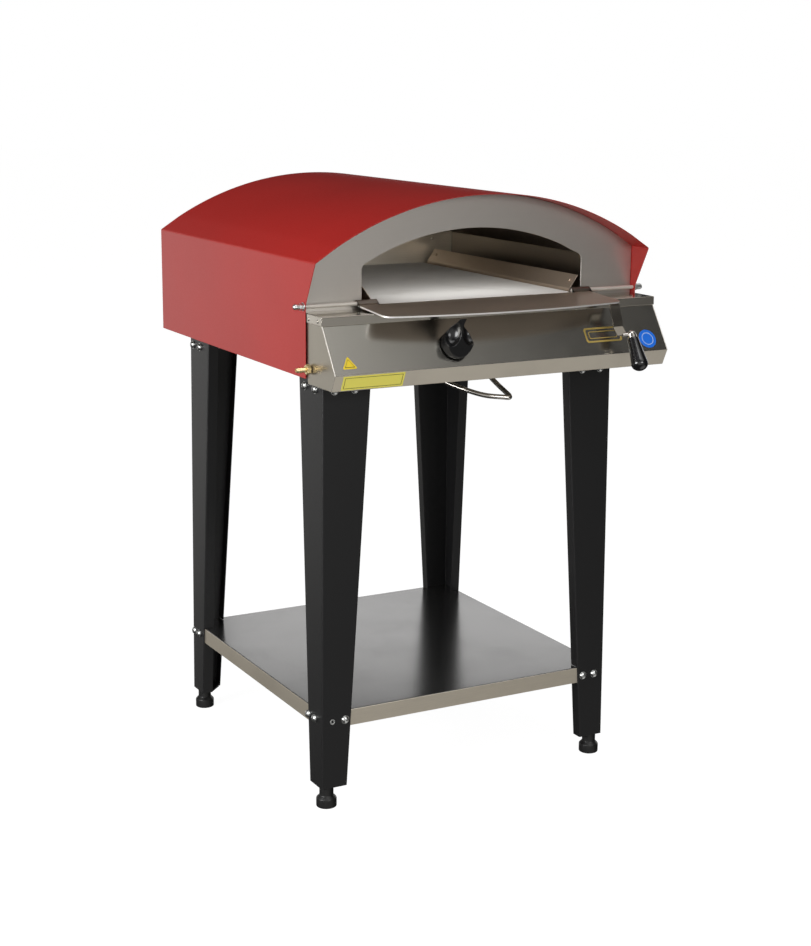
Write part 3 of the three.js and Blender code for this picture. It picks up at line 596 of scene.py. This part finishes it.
def cover():
    bm = bmesh.new()
    low = COVER[2][0]
    bend = fillet([(PANEL_REAR, COVER_TOP), (COVER_FRONT, COVER_TOP), (COVER_FRONT, low)], 1.8)
    prism(bm, ribbon(bend, THIN), "x", -COVER_HALF, COVER_HALF)
    near = COVER_FRONT + 0.2
    skirt = [(PANEL_REAR, COVER_TOP), (near, COVER_TOP), (near, low), (PANEL_REAR, low)]
    for side in (-1, 1):
        prism(bm, skirt, "x", *sorted((side * COVER_HALF, side * (COVER_HALF - THIN))))
        ledge = sorted((side * (COVER_HALF - 3), side * (STONE[0][1] + 1)))
        block(bm, ledge, (PANEL_REAR - 1, FASCIA_FRONT - 0.3), (COVER_TOP - THIN, COVER_TOP))
        for y in (-288.5, -327.5):
            dome(bm, (side * COVER_HALF, y, 1007), (side, 0, 0), 3.4, 1.6)
    piece("cover", bm, COVER_STEEL, replaces="top_cover", bevel=0.8, segments=3, slot="casing_steel")


def rear_panel():
    (low, high), (front, back), (bottom, top) = span("rear_panel")
    vents = []
    for row in range(2):
        for column in range(9):
            x, z = (column - 4) * 52, 941.5 + row * 24
            vents.append(round_outline(rectangle(18, 3.5, x, z), 3.4))
    bm = bmesh.new()
    inset = SHEET + 0.6
    outline = arch(HOOD_HALF - inset, bottom, EAVE - inset * 0.25, HOOD_APEX - inset)
    prism(bm, outline, "y", front, back, vents)
    piece("rear_cover", bm, FLANGE_STEEL, replaces="rear_panel", bevel=0.3, slot="casing_steel")
    bm = bmesh.new()
    places = [(side * 366, z) for side in (-1, 1) for z in (910, 1000, 1092)]
    places += [(0, 1218), (-215, 1187), (215, 1187), (0, 905)]
    for x, z in places:
        dome(bm, (x, back, z), (0, 1, 0), 4.2, 2.2)
    piece("rear_screws", bm, ZINC, slot="zinc_plate")


def chamber():
    (_, half), (front, rear), (bottom, apex) = LINER
    bm = bmesh.new()
    prism(bm, ribbon(arch(half, bottom, LINER_EAVE, apex), -THIN), "y", front, rear)
    piece("liner", bm, LINER_STEEL, replaces="chamber_liner", bevel=0.2, slot="chamber_steel")
    bm = bmesh.new()
    (_, wide), (near, far), (low, high) = span("chamber_rear_wall")
    prism(bm, arch(wide, low, LINER_EAVE - 0.4, high), "y", near, far)
    for x in (-250, 0, 250):
        dome(bm, (x, near, 1080 if x else 1140), (0, -1, 0), 3.5, 1.6)
    piece("rear_wall", bm, REAR_WALL, replaces="chamber_rear_wall", bevel=0.2, slot="chamber_steel")
    bm = bmesh.new()
    (low, high), (front, back), (under, top) = STONE
    chamfer = 10
    outline = [
        (low, back), (low, front + chamfer), (low + chamfer, front),
        (high - chamfer, front), (high, front + chamfer), (high, back),
    ]
    prism(bm, outline, "z", under, top)
    piece("stone", bm, STONE_LOOK, replaces="baking_stone", bevel=1.6, segments=3, slot="refractory_stone")
    (_, _), (front, rear), (low, _) = span("flame_guard_right")
    for side, hand in ((-1, "left"), (1, "right")):
        bm = bmesh.new()
        path = fillet([(246, low), (228.6, low), (228.6, 1031), (248, 1058)], 2)
        prism(bm, ribbon([(side * x, z) for x, z in path], THIN * -side), "y", front, rear)
        for y in (-242, 315):
            dome(bm, (side * 238.3, y, 1046.5), Vector((-27 * side, 0, 19.4)), 3.2, 1.8)
        piece(f"guard_{hand}", bm, GUARD, replaces=f"flame_guard_{hand}", bevel=0.25, slot="guard_steel")


# ---------------------------------------------------------------- door
DOOR_PLACE = Matrix.Translation((0, HINGE_Y, HINGE_Z)) @ Matrix.Rotation(DOOR_SLOPE, 4, "X")
TOP_SLOT, HIGHLIGHT_EDGE_SLOT, SHADED_UNDER_SLOT = 0, 1, 2  # the door leaf's materials
CURL_SHEET = 2.3  # how thick the knuckles' rolled sheet is


def door():
    half, reach, side_reach, corner = DOOR[0][1], 142, 122, 18
    straight = half - corner
    nose = []
    for i in range(33):
        across = straight * (i / 16 - 1)
        bulge = (reach - side_reach - 1) * (1 - (across / straight) ** 2)
        nose.append((across, -(side_reach + 1 + bulge)))
    rounds = []
    for i in range(11):
        angle = math.pi / 2 * i / 10
        y = -(side_reach - corner + 1 + corner * math.sin(angle))
        rounds.append((straight + corner * math.cos(angle), y))
    left = [(-x, y) for x, y in rounds]
    outline = [(-half, -7), *left, *nose[1:-1], *rounds[::-1], (half, -7)]
    bm = bmesh.new()
    prism(bm, outline, "z", -DOOR_DROP - DOOR_THICK, -DOOR_DROP)
    bmesh.ops.recalc_face_normals(bm, faces=bm.faces)
    for face in bm.faces:
        # The leaf's edges get the near-white painted highlight.
        face.material_index = HIGHLIGHT_EDGE_SLOT
        if face.normal.z > 0.5:
            face.material_index = TOP_SLOT
        elif face.normal.z < -0.5:
            # The underside gets the dark painted-shade copy of the steel.
            face.material_index = SHADED_UNDER_SLOT
    plate = set(bm.faces)
    middle = -DOOR_DROP - DOOR_THICK / 2
    for side in (-1, 1):
        curl = [(-16, middle), (-9, middle), (-4, -5.2)]
        for i in range(22):
            angle = -math.pi / 2 - (2 * math.pi * 0.86) * i / 21
            curl.append((5.7 * math.cos(angle), 5.7 * math.sin(angle)))
        path = curl[:2] + fillet(curl[1:4], 2)[1:-1] + curl[3:]
        sheet = ribbon(offset(path, CURL_SHEET / 2), -CURL_SHEET)
        prism(bm, sheet, "x", *sorted((side * KNUCKLE_IN, side * KNUCKLE_OUT)))
    # The rolled knuckles get the dark painted-shade copy too.
    for face in set(bm.faces) - plate:
        face.material_index = SHADED_UNDER_SLOT
    moved(bm, 0, DOOR_PLACE)
    made = piece(
        "door_leaf", bm, DOOR_STEEL, "door", "door_plate", bevel=0.9, segments=3, slot="door_steel",
    )
    made.data.materials.append(DOOR_EDGE_HIGHLIGHT)
    made.data.materials.append(DOOR_UNDER_SHADE)


ARM_PATH = [
    (-366, 1014.1), (-383.5, 1012.8), (-384.5, 1002), (-394.5, 983), (-397, 969), (-413, 952.5),
]
ARM_IN, ARM_OUT, ARM_THICK = 241, 263.8, 2.5
GRIP_X = 268
GRIP_TOP, GRIP_END = Vector((GRIP_X, -424.5, 955)), Vector((GRIP_X, -454, 902))


def handle():
    bm = bmesh.new()
    path = fillet(ARM_PATH, 5)
    prism(bm, ribbon(offset(path, ARM_THICK / 2), -ARM_THICK), "x", ARM_IN, ARM_OUT)
    sweep(bm, [(ARM_OUT, *point) for point in path], ARM_THICK / 2, 12)
    piece("handle_strip", bm, STRIP, "door", "handle_arm", bevel=0.15, slot="bright_steel")
    bm = bmesh.new()
    along = (GRIP_END - GRIP_TOP).normalized()
    angles = [math.pi * i / 10 for i in range(11)]
    ball = [(8 * math.sin(a), -8 * math.cos(a)) for a in angles]
    lathe(bm, ball, GRIP_TOP - along * 1, along, 32)
    lathe(bm, [(0, 1), (9, 1), (9, 7), (0, 7)], GRIP_TOP, along, 32)
    lathe(bm, [(0, 0), (4.5, 0), (4.5, 14), (0, 14)], (GRIP_X - 14, -415, 953.5), (14, -8, 2), 20)
    piece("handle_ball", bm, BRIGHT, "door", bevel=0.4, slot="bright_steel")
    bm = bmesh.new()
    length = (GRIP_END - GRIP_TOP).length
    profile = [(0, 7.2), (10, 7.2), (11.2, 8)]
    for i in range(13):
        share = i / 12
        profile.append((11.6 + 5.6 * share ** 1.25, 8.8 + (length - 8.8) * share))
    for i in range(1, 13):
        angle = math.pi / 2 * i / 12
        profile.append((17.2 * math.cos(angle), length + 15.6 * math.sin(angle)))
    profile[-1] = (0, profile[-1][1])
    lathe(bm, profile, GRIP_TOP, along, 56)
    piece("grip", bm, PHENOLIC, "door", "handle_grip", sharp=50, slot="black_phenolic")


def hinge_pins():
    for side, hand in ((-1, "left"), (1, "right")):
        bm = bmesh.new()
        out = (side, 0, 0)

        def at(x):
            return side * x, HINGE_Y, HINGE_Z

        lathe(bm, [(0, 0), (3.6, 0), (4, 0.5), (4, 168), (0, 168)], at(KNUCKLE_IN + 1), out, 32)
        piece(f"hinge_rod_{hand}", bm, PIN_STEEL, replaces=f"hinge_pin_{hand}", slot="bright_steel")
        bm = bmesh.new()
        lathe(bm, [(0, 0), (8.5, 0), (8.5, 1.6), (0, 1.6)], at(HOOD_HALF + 0.2), out, 40)
        lathe(bm, [(0, 0), (7.3, 0), (7.3, 6.2), (0, 6.2)], at(HOOD_HALF + 2), out, 6)
        cap = [(0, 0), (6, 0), (6, 8)]
        angles = [i * math.pi / 16 for i in range(1, 8)]
        cap += [(6 * math.cos(a), 8 + 6 * math.sin(a)) for a in angles]
        lathe(bm, [*cap, (0, 14)], at(HOOD_HALF + 8), out, 32)
        piece(f"hinge_nut_{hand}", bm, ZINC, bevel=0.35, slot="zinc_plate")


# ---------------------------------------------------------------- controls
def knob():
    """A tapered round knob cut off by a slanting plane, with a scoop on each side of its ridge."""
    radius, front, middle, rise, height = 30, 29, 31.5, 0.82, 54.5
    bm = bmesh.new()
    lathe(bm, [(0, 0), (radius, 0), (front, height), (0, height)], (0, 0, 0), sides=96)
    above = bmesh.new()
    reach = radius + 10
    cap = [(reach, height + 40), (-reach, height + 40)]
    slant = [(-reach, middle - rise * reach), (reach, middle + rise * reach)]
    prism(above, [*slant, *cap], "x", -reach, reach)
    cutters = [above]
    for side in (-1, 1):
        bowl = bmesh.new()
        bmesh.ops.create_uvsphere(bowl, u_segments=64, v_segments=40, radius=1)
        turn = Matrix.Translation((0, 0, middle)) @ Matrix.Rotation(math.atan(rise), 4, "X")
        place = turn @ Matrix.Translation((side * 20.8, 13, 1)) @ Matrix.Diagonal((19.6, 29, 22, 1))
        bmesh.ops.transform(bowl, matrix=place, verts=bowl.verts)
        cutters.append(bowl)
    bm = carved(bm, cutters)
    moved(bm, 0, on_face(-112, 951, 4))
    piece("knob", bm, KNOB_BLACK, "knob", "control_knob", slot="black_phenolic", moulded=0.55)


def nozzle():
    bm = bmesh.new()
    base = (-COVER_HALF - 0.3, NOZZLE_Y, NOZZLE_Z)
    left = (-1, 0, 0)
    lathe(bm, [(0, 0), (10, 0), (10.6, 0.6), (10.6, 6.4), (9.8, 7.2), (0, 7.2)], base, left, 6)
    barbs = [(0, 5), (4.6, 5), (4.6, 10)]
    for barb in range(3):
        start = 10.5 + barb * 5.6
        barbs += [(4.1, start - 0.2), (5.4, start), (5.3, start + 0.8), (4.1, start + 5)]
    lathe(bm, [*barbs, (3.6, 28.3), (2.4, 28.3), (2.4, 22), (0, 22)], base, left, 36)
    piece("gas_nozzle", bm, BRASS, replaces="hose_nozzle", bevel=0.3, slot="brass")


LABEL = (0.0, 0.25)  # how far a label's underside and top stand off the steel under it
BORDER = (0.27, 0.4)  # and a printed border's


def label(name, outline, material, place, heights=LABEL, holes=()):
    bm = bmesh.new()
    prism(bm, outline, "z", *heights, holes)
    moved(bm, 0, place)
    piece(name, bm, material)


def circle(radius, count=48):
    angles = [2 * math.pi * i / count for i in range(count)]
    return [(radius * math.cos(a), radius * math.sin(a)) for a in angles]


def labels():
    """Plain coloured stickers with no words or signs."""
    triangle = [(-15.5, -12), (15.5, -12), (0, 14)]
    place = on_face(-343, 935, 0.1)
    label("triangle_label", round_outline(triangle, 2), YELLOW, place)
    outer, inner = [round_outline([(a * k, b * k - 1) for a, b in triangle], 1) for k in (0.68, 0.58)]
    label("triangle_border", outer, LABEL_INK, place, BORDER, [inner])
    place = on_face(337, 937, 0.1)
    label("round_label", circle(20), BLUE, place)
    label("round_border", circle(13.5), PALE_INK, place, BORDER, [circle(12.3)])
    bm = bmesh.new()
    halves = [(43, 16), (39.6, 12.6), (34, 8), (32.4, 6.4)]
    outlines = [round_outline(rectangle(wide, high), 5) for wide, high in halves]
    prism(bm, outlines[0], "z", 0, 0.4, [outlines[1]])
    prism(bm, outlines[2], "z", 0, 0.3, [outlines[3]])
    moved(bm, 0, on_face(233, 951, 0.1))
    piece("badge_frame", bm, GOLD)
    # The long yellow label lies on the chamfer under the nose.
    heel, nose = Vector((0, *HEEL)), Vector((0, *NOSE))
    chamfer = (heel - nose).normalized()
    normal = Vector((0, chamfer.z, -chamfer.y))
    turn = Matrix((Vector((1, 0, 0)), -chamfer, normal)).transposed().to_4x4()
    middle = (heel + nose) / 2
    place = Matrix.Translation(Vector((-294.5, middle.y, middle.z)) + normal * 0.1) @ turn
    # Its lifted pale yellow is partly painted light, for the floor's bounce.
    label("long_label", rectangle(65, 15.5), PALE_YELLOW, place)
    label("long_label_border", rectangle(61, 12), LABEL_INK, place, BORDER, [rectangle(60, 11)])


# ---------------------------------------------------------------- stand
LEG_TOP, LEG_BOTTOM = 890, 44.5
LEG_LIP, LEG_SHEET = 24, 2
# At the top and the bottom: the outer corner's x, its y on a front (1) or rear (-1) leg, the width.
LEG_X = (335.6, 341.6)
LEG_Y = {1: (-258.9, -264.9), -1: (419, 425)}
LEG_WIDTH = (106.7, 57)


def leg_place(z, inward):
    """The outer corner's x and y and the faces' width, at one height."""
    share = (LEG_TOP - z) / (LEG_TOP - LEG_BOTTOM)
    return tuple(at + (end - at) * share for at, end in (LEG_X, LEG_Y[inward], LEG_WIDTH))


def leg_ring(z, inward):
    """The folded leg's outline at one height, as distances inwards from its outer corner."""
    _, _, width = leg_place(z, inward)
    path = [(LEG_LIP, width), (0, width), (0, 0), (width, 0), (width, LEG_LIP)]
    return ribbon(fillet(path, 2.6, 4), LEG_SHEET)


def leg(corner, side, inward):
    bm = bmesh.new()
    rings = []
    for z in (LEG_BOTTOM, LEG_TOP):
        x, y, _ = leg_place(z, inward)
        corners = [(side * (x - a), y + inward * b, z) for a, b in leg_ring(z, inward)]
        rings.append([bm.verts.new(point) for point in corners])
    rings_to_faces(bm, rings, False)
    for ring in rings:
        bm.faces.new(ring)
    x, y, width = leg_place(SHELF[2][1], inward)
    level = (SHELF[2][0] - 1, SHELF[2][1] + 1)
    along, across = (width - 7, width + 4), (LEG_SHEET + 0.1, LEG_LIP + 2)
    notches = []
    for a, b in ((along, across), (across, along)):
        notch = bmesh.new()
        wide = sorted(side * (x - value) for value in a)
        deep = sorted(y + inward * value for value in b)
        block(notch, wide, deep, level)
        notches.append(notch)
    bm = carved(bm, notches)
    piece(
        f"stand_leg_{corner}", bm, BLACK, replaces=f"leg_{corner}", bevel=0.35, sharp=40,
        slot="black_powder_coat",
    )


def foot(corner, side, inward):
    (x0, x1), (y0, y1), (low, high) = span(f"foot_pad_{corner}")
    radius = (y1 - y0) / 2
    base = ((x0 + x1) / 2, (y0 + y1) / 2, 0)
    profile = [(0, 0), (radius - 2.5, 0)]
    for i in range(5):
        angle = math.pi / 2 * i / 4
        profile.append((radius - 2.5 + 2.5 * math.sin(angle), 2.5 - 2.5 * math.cos(angle)))
    profile += [(radius, 17.6), (radius - 0.9, 19.4), (15.5, 24.2), (14.5, 26), (14.5, high - 1)]
    profile += [(13.8, high), (5.4, high), (5.4, 14), (0, 14)]
    bm = bmesh.new()
    lathe(bm, profile, base, sides=56)
    body = name = f"foot_{corner}"
    piece(name, bm, NYLON, body, f"foot_pad_{corner}", sharp=40, slot="black_nylon")


def screw_mesh():
    """A pan-head screw with a cross recess, on its washer, pointing along +Z."""
    bm = bmesh.new()
    head = [(0, 0.2), (7.4, 0.2), (7.7, 1.2), (7.2, 2.8), (5.9, 4.2), (3.6, 5.1), (0, 5.4)]
    lathe(bm, head, (0, 0, 0), sides=40)
    slots = []
    for turn in (0, 90):
        slot = bmesh.new()
        block(slot, (-3.6, 3.6), (-0.75, 0.75), (2.4, 8))
        bmesh.ops.rotate(slot, matrix=Matrix.Rotation(math.radians(turn), 3, "Z"), verts=slot.verts)
        slots.append(slot)
    bm = carved(bm, slots)
    lathe(bm, [(0, -0.7), (8.6, -0.7), (8.6, 0.3), (0, 0.3)], (0, 0, 0), sides=40)
    bmesh.ops.scale(bm, vec=(MM, MM, MM), verts=bm.verts)
    bmesh.ops.recalc_face_normals(bm, faces=bm.faces)
    mesh = bpy.data.meshes.new("stand_screw")
    bm.to_mesh(mesh)
    bm.free()
    return mesh


def stand_screws():
    """Two screws through each leg face into the bracket above and into the shelf below."""
    mesh = screw_mesh()
    rows = {
        "top": {"z": 860, "front": (26, 70), "side": (33, 79), "rear_side": (15, 55)},
        "shelf": {"z": 186, "front": (23, 52), "side": (35, 64), "rear_side": (10, 37)},
    }
    for corner, side, inward in CORNERS:
        for row, places in rows.items():
            sideways = places["side"] if inward > 0 else places["rear_side"]
            z = places["z"]
            x, y, _ = leg_place(z, inward)
            for number in range(2):
                if not (row == "shelf" and corner == "front_left" and number == 0):
                    at = Vector((side * (x - places["front"][number]), y, z))
                    screw(f"screw_{row}_{corner}_face_{number}", mesh, at, Vector((0, -inward, 0)))
                at = Vector((side * x, y + inward * sideways[number], z))
                screw(f"screw_{row}_{corner}_side_{number}", mesh, at, Vector((side, 0, 0)))
    # One screw is missing low on the front left leg, and its rivet nut shows.
    row = rows["shelf"]
    x, y, _ = leg_place(row["z"], 1)
    bm = bmesh.new()
    at = (-(x - row["front"][0]), y - 0.2, row["z"])
    forward = (0, -1, 0)
    rim = [(3.4, 0), (5.6, 0), (5.6, 0.9), (5, 1.3), (3.8, 1.3), (3.4, 0.9), (3.4, 0)]
    lathe(bm, rim, at, forward, 32)
    lathe(bm, [(3.3, -6), (3.7, -6), (3.7, 0.5), (3.3, 0.5), (3.3, -6)], at, forward, 32)
    piece("rivet_nut", bm, ZINC, slot="zinc_plate")


def screw(name, mesh, at, out):
    made = placed(name, mesh, ZINC, "oven", sharp=30, slot="zinc_plate")
    spin = Quaternion(out, random.uniform(0, math.pi))
    turn = spin @ Vector((0, 0, 1)).rotation_difference(out)
    made.matrix_world = Matrix.Translation((at + out * 0.5) * MM) @ turn.to_matrix().to_4x4()
    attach(made, "oven")


def shelf():
    """A folded tray: a flat top with edges bent down all round."""
    (x0, x1), (y0, y1), (low, top) = SHELF
    fold = fillet([(30, top), (0, top), (0, low)], 2.4)
    path = fold + offset(fold, SHEET)[::-1]
    bm = bmesh.new()
    rings = []
    for inset, z in path:
        left, right, front, back = x0 + inset, x1 - inset, y0 + inset, y1 - inset
        corners = [(left, front), (right, front), (right, back), (left, back)]
        outline = round_outline(corners, max(1.6 - inset, 0.3), 3)
        rings.append([bm.verts.new((x, y, z)) for x, y in outline])
    rings_to_faces(bm, rings, False)
    for ring in (rings[0], rings[-1]):
        bm.faces.new(ring)
    made = piece("stand_shelf", bm, SHELF_STEEL, replaces="shelf", sharp=28, slot="shelf_steel")
    # The bent-down edges get the lighter, warmer flange steel: painted light for what they reflect, on the
    # same sheet as the grey top.
    made.data.materials.append(FLANGE_STEEL)
    for face in made.data.polygons:
        if abs(face.normal.z) < 0.5:
            face.material_index = 1
    return made


def pull():
    (_, _), (_, back), (_, top) = span("tray_pull")
    end = 870
    route = [
        (50, back, end), (50, back - 5, end), (50, -245, 859), (50, -275, 847), (50, -305, 837),
        (49.4, -320, 832), (45, -326, 830), (34, -323.5, 831), (0, -310.5, 835), (-27, -286.5, 843),
        (-50, -257, 853), (-63, -240, 861), (-68, back - 5, end), (-68, back, end),
    ]
    bm = bmesh.new()
    sweep(bm, through(route), 5, 20)
    piece("wire_pull", bm, BRIGHT, "crumb_tray", "tray_pull", sharp=50, slot="bright_steel")


# ---------------------------------------------------------------- CAD nodes that stay
def dress_cad_nodes():
    looks = {
        "base_pan": FLANGE_STEEL, "chamber_floor": LINER_STEEL, "crumb_tray": CASING,
        "gas_inlet_pipe": BRASS, "gas_valve": BRASS, "gas_manifold": CASING, "thermocouple": COPPER,
        "valve_spindle": ZINC, "spindle_collar": ZINC,
    }
    starts = {
        "deck_rail": CASING, "floor_support": CASING, "burner_tube": CASING, "tray_runner": FLANGE_STEEL,
        "corner_bracket": ZINC, "foot_plate": BLACK, "foot_stud": ZINC,
    }
    for name, node in frame["nodes"].items():
        if node.hide_render:
            continue
        look = looks.get(name)
        for start, material in starts.items():
            if name.startswith(start):
                look = material
        if "insulation" in name:
            look = FIBRE
        node.data.materials.clear()
        node.data.materials.append(look)


# ---------------------------------------------------------------- studio
CAMERA_PLACE = (-1.78193, -3.23114, 1.45865)  # metres
CAMERA_ANGLES = (-28.736, 12.9125, 0.4998)  # azimuth, elevation and roll
CAMERA_LENS = 66.3765


def studio():
    scene = bpy.context.scene
    camera = bpy.data.objects.new("camera", bpy.data.cameras.new("camera"))
    scene.collection.objects.link(camera)
    azimuth, elevation, roll = (math.radians(a) for a in CAMERA_ANGLES)
    turn = Matrix.Rotation(azimuth, 3, "Z") @ Matrix.Rotation(math.pi / 2 - elevation, 3, "X")
    turn = turn @ Matrix.Rotation(roll, 3, "Z")
    camera.matrix_world = Matrix.Translation(CAMERA_PLACE) @ turn.to_4x4()
    camera.data.lens = CAMERA_LENS
    camera.data.sensor_width = 36
    camera.data.clip_end = 100
    scene.camera = camera

    bm = bmesh.new()
    bmesh.ops.create_grid(bm, x_segments=1, y_segments=1, size=30)
    mesh = bpy.data.meshes.new("floor")
    bm.to_mesh(mesh)
    bm.free()
    floor = bpy.data.objects.new("floor", mesh)
    scene.collection.objects.link(floor)
    paper = Shader("floor_paper", (0.16, 0.16, 0.16), 0.9, Specular_IOR_Level=0.0)
    paper.shades(paper.noise((2, 2, 2), detail=4), 0.98, 1.02)
    paper.set("Emission Color", (1, 1, 1, 1))
    paper.set("Emission Strength", 0.96)
    mesh.materials.append(paper.material)
    floor.visible_glossy = False
    floor.visible_diffuse = False
    floor.visible_shadow = False
    lights(scene)
    world(scene)
    scene.view_settings.view_transform = "Standard"


def lights(scene):
    """Soft lamps, all hidden from the camera; some serve as cards for reflections. Brightness is per
    square metre.
    """
    cards = {
        "left": ((-3.6, -0.9, 1.5), (0, 0, 1.0), (2.0, 1.6), 12.4),
        "top": ((-0.6, -1.2, 4.2), (0, 0, 0.9), (3.0, 2.0), 2.5),
        "front": ((0.15, -4.2, 1.9), (0, 0, 1.0), (1.6, 1.0), 7.0),
        "shelf_card": ((1.35, 2.45, 1.05), (0, 0.1, 0.6), (1.5, 0.6), 0.78),
        "chamber_fill": ((0, -0.23, 1.14), (0, -0.06, 1.03), (0.36, 0.04), 6.5),
    }
    for name, (at, target, size, brightness) in cards.items():
        softbox(scene, name, at, target, size, brightness)


def softbox(scene, name, at, target, size, brightness):
    light = bpy.data.lights.new(name, "AREA")
    light.shape = "RECTANGLE"
    light.size, light.size_y = size
    light.energy = brightness * math.pi * size[0] * size[1]
    made = bpy.data.objects.new(name, light)
    scene.collection.objects.link(made)
    made.location = at
    made.rotation_mode = "QUATERNION"
    made.rotation_quaternion = (Vector(target) - Vector(at)).to_track_quat("-Z", "Y")
    made.visible_camera = False


# Where the room is bright, as the steel mirrors it: direction, full and last angle, brightness.
ROOM = [
    ((-0.25, 0.963, -0.1), 3, 16, 1.3),
    ((0.2, -0.97, -0.15), 5, 30, 0.31),
    ((-0.5, -0.85, 0.1), 10, 40, 0.65),
    ((0.05, -0.65, 0.75), 8, 26, 0.6),
    ((0.25, -0.54, 0.8), 6, 19, 0.52),
    ((0.4, -0.42, -0.81), 8, 34, 0.72),
    ((-0.93, 0.3, 0.2), 15, 45, 0.3),
    ((-0.15, 0.92, 0.37), 2, 9, 1.4),
    ((0.88, 0.45, 0.1), 4, 22, 1.4),
    ((0.48, 0.0, 0.88), 6, 20, 1.2),
]
ROOM_DARK = 0.035


def world(scene):
    """White behind the oven, and a grey room with a few bright sides for everything else."""
    made = bpy.data.worlds.new("studio")
    scene.world = made
    made.use_nodes = True
    tree = made.node_tree
    direction = tree.nodes.new("ShaderNodeTexCoord").outputs["Generated"]
    total = None
    for aim, full, last, brightness in ROOM:
        dot = tree.nodes.new("ShaderNodeVectorMath")
        dot.operation = "DOT_PRODUCT"
        tree.links.new(direction, dot.inputs[0])
        dot.inputs[1].default_value = Vector(aim).normalized()
        ramp = tree.nodes.new("ShaderNodeMapRange")
        ramp.interpolation_type = "SMOOTHSTEP"
        tree.links.new(dot.outputs["Value"], ramp.inputs["Value"])
        ramp.inputs["From Min"].default_value = math.cos(math.radians(last))
        ramp.inputs["From Max"].default_value = math.cos(math.radians(full))
        ramp.inputs["To Max"].default_value = brightness
        if total is None:
            ramp.inputs["To Min"].default_value = 0.0
            total = ramp.outputs["Result"]
        else:
            add = tree.nodes.new("ShaderNodeMath")
            tree.links.new(total, add.inputs[0])
            tree.links.new(ramp.outputs["Result"], add.inputs[1])
            total = add.outputs[0]
    lift = tree.nodes.new("ShaderNodeMath")
    tree.links.new(total, lift.inputs[0])
    lift.inputs[1].default_value = ROOM_DARK
    room = tree.nodes["Background"]
    room.inputs["Color"].default_value = (1.0, 0.985, 0.96, 1)
    tree.links.new(lift.outputs[0], room.inputs["Strength"])
    white = tree.nodes.new("ShaderNodeBackground")
    white.inputs["Color"].default_value = (1, 1, 1, 1)
    path = tree.nodes.new("ShaderNodeLightPath")
    pick = tree.nodes.new("ShaderNodeMixShader")
    tree.links.new(path.outputs["Is Camera Ray"], pick.inputs[0])
    tree.links.new(room.outputs[0], pick.inputs[1])
    tree.links.new(white.outputs[0], pick.inputs[2])
    tree.links.new(pick.outputs[0], tree.nodes["World Output"].inputs["Surface"])


studio()
hood()
fascia()
control_box()
cover()
rear_panel()
chamber()
door()
handle()
hinge_pins()
knob()
nozzle()
labels()
for corner_name, corner_side, corner_inward in CORNERS:
    leg(corner_name, corner_side, corner_inward)
    foot(corner_name, corner_side, corner_inward)
stand_screws()
shelf()
pull()
dress_cad_nodes()
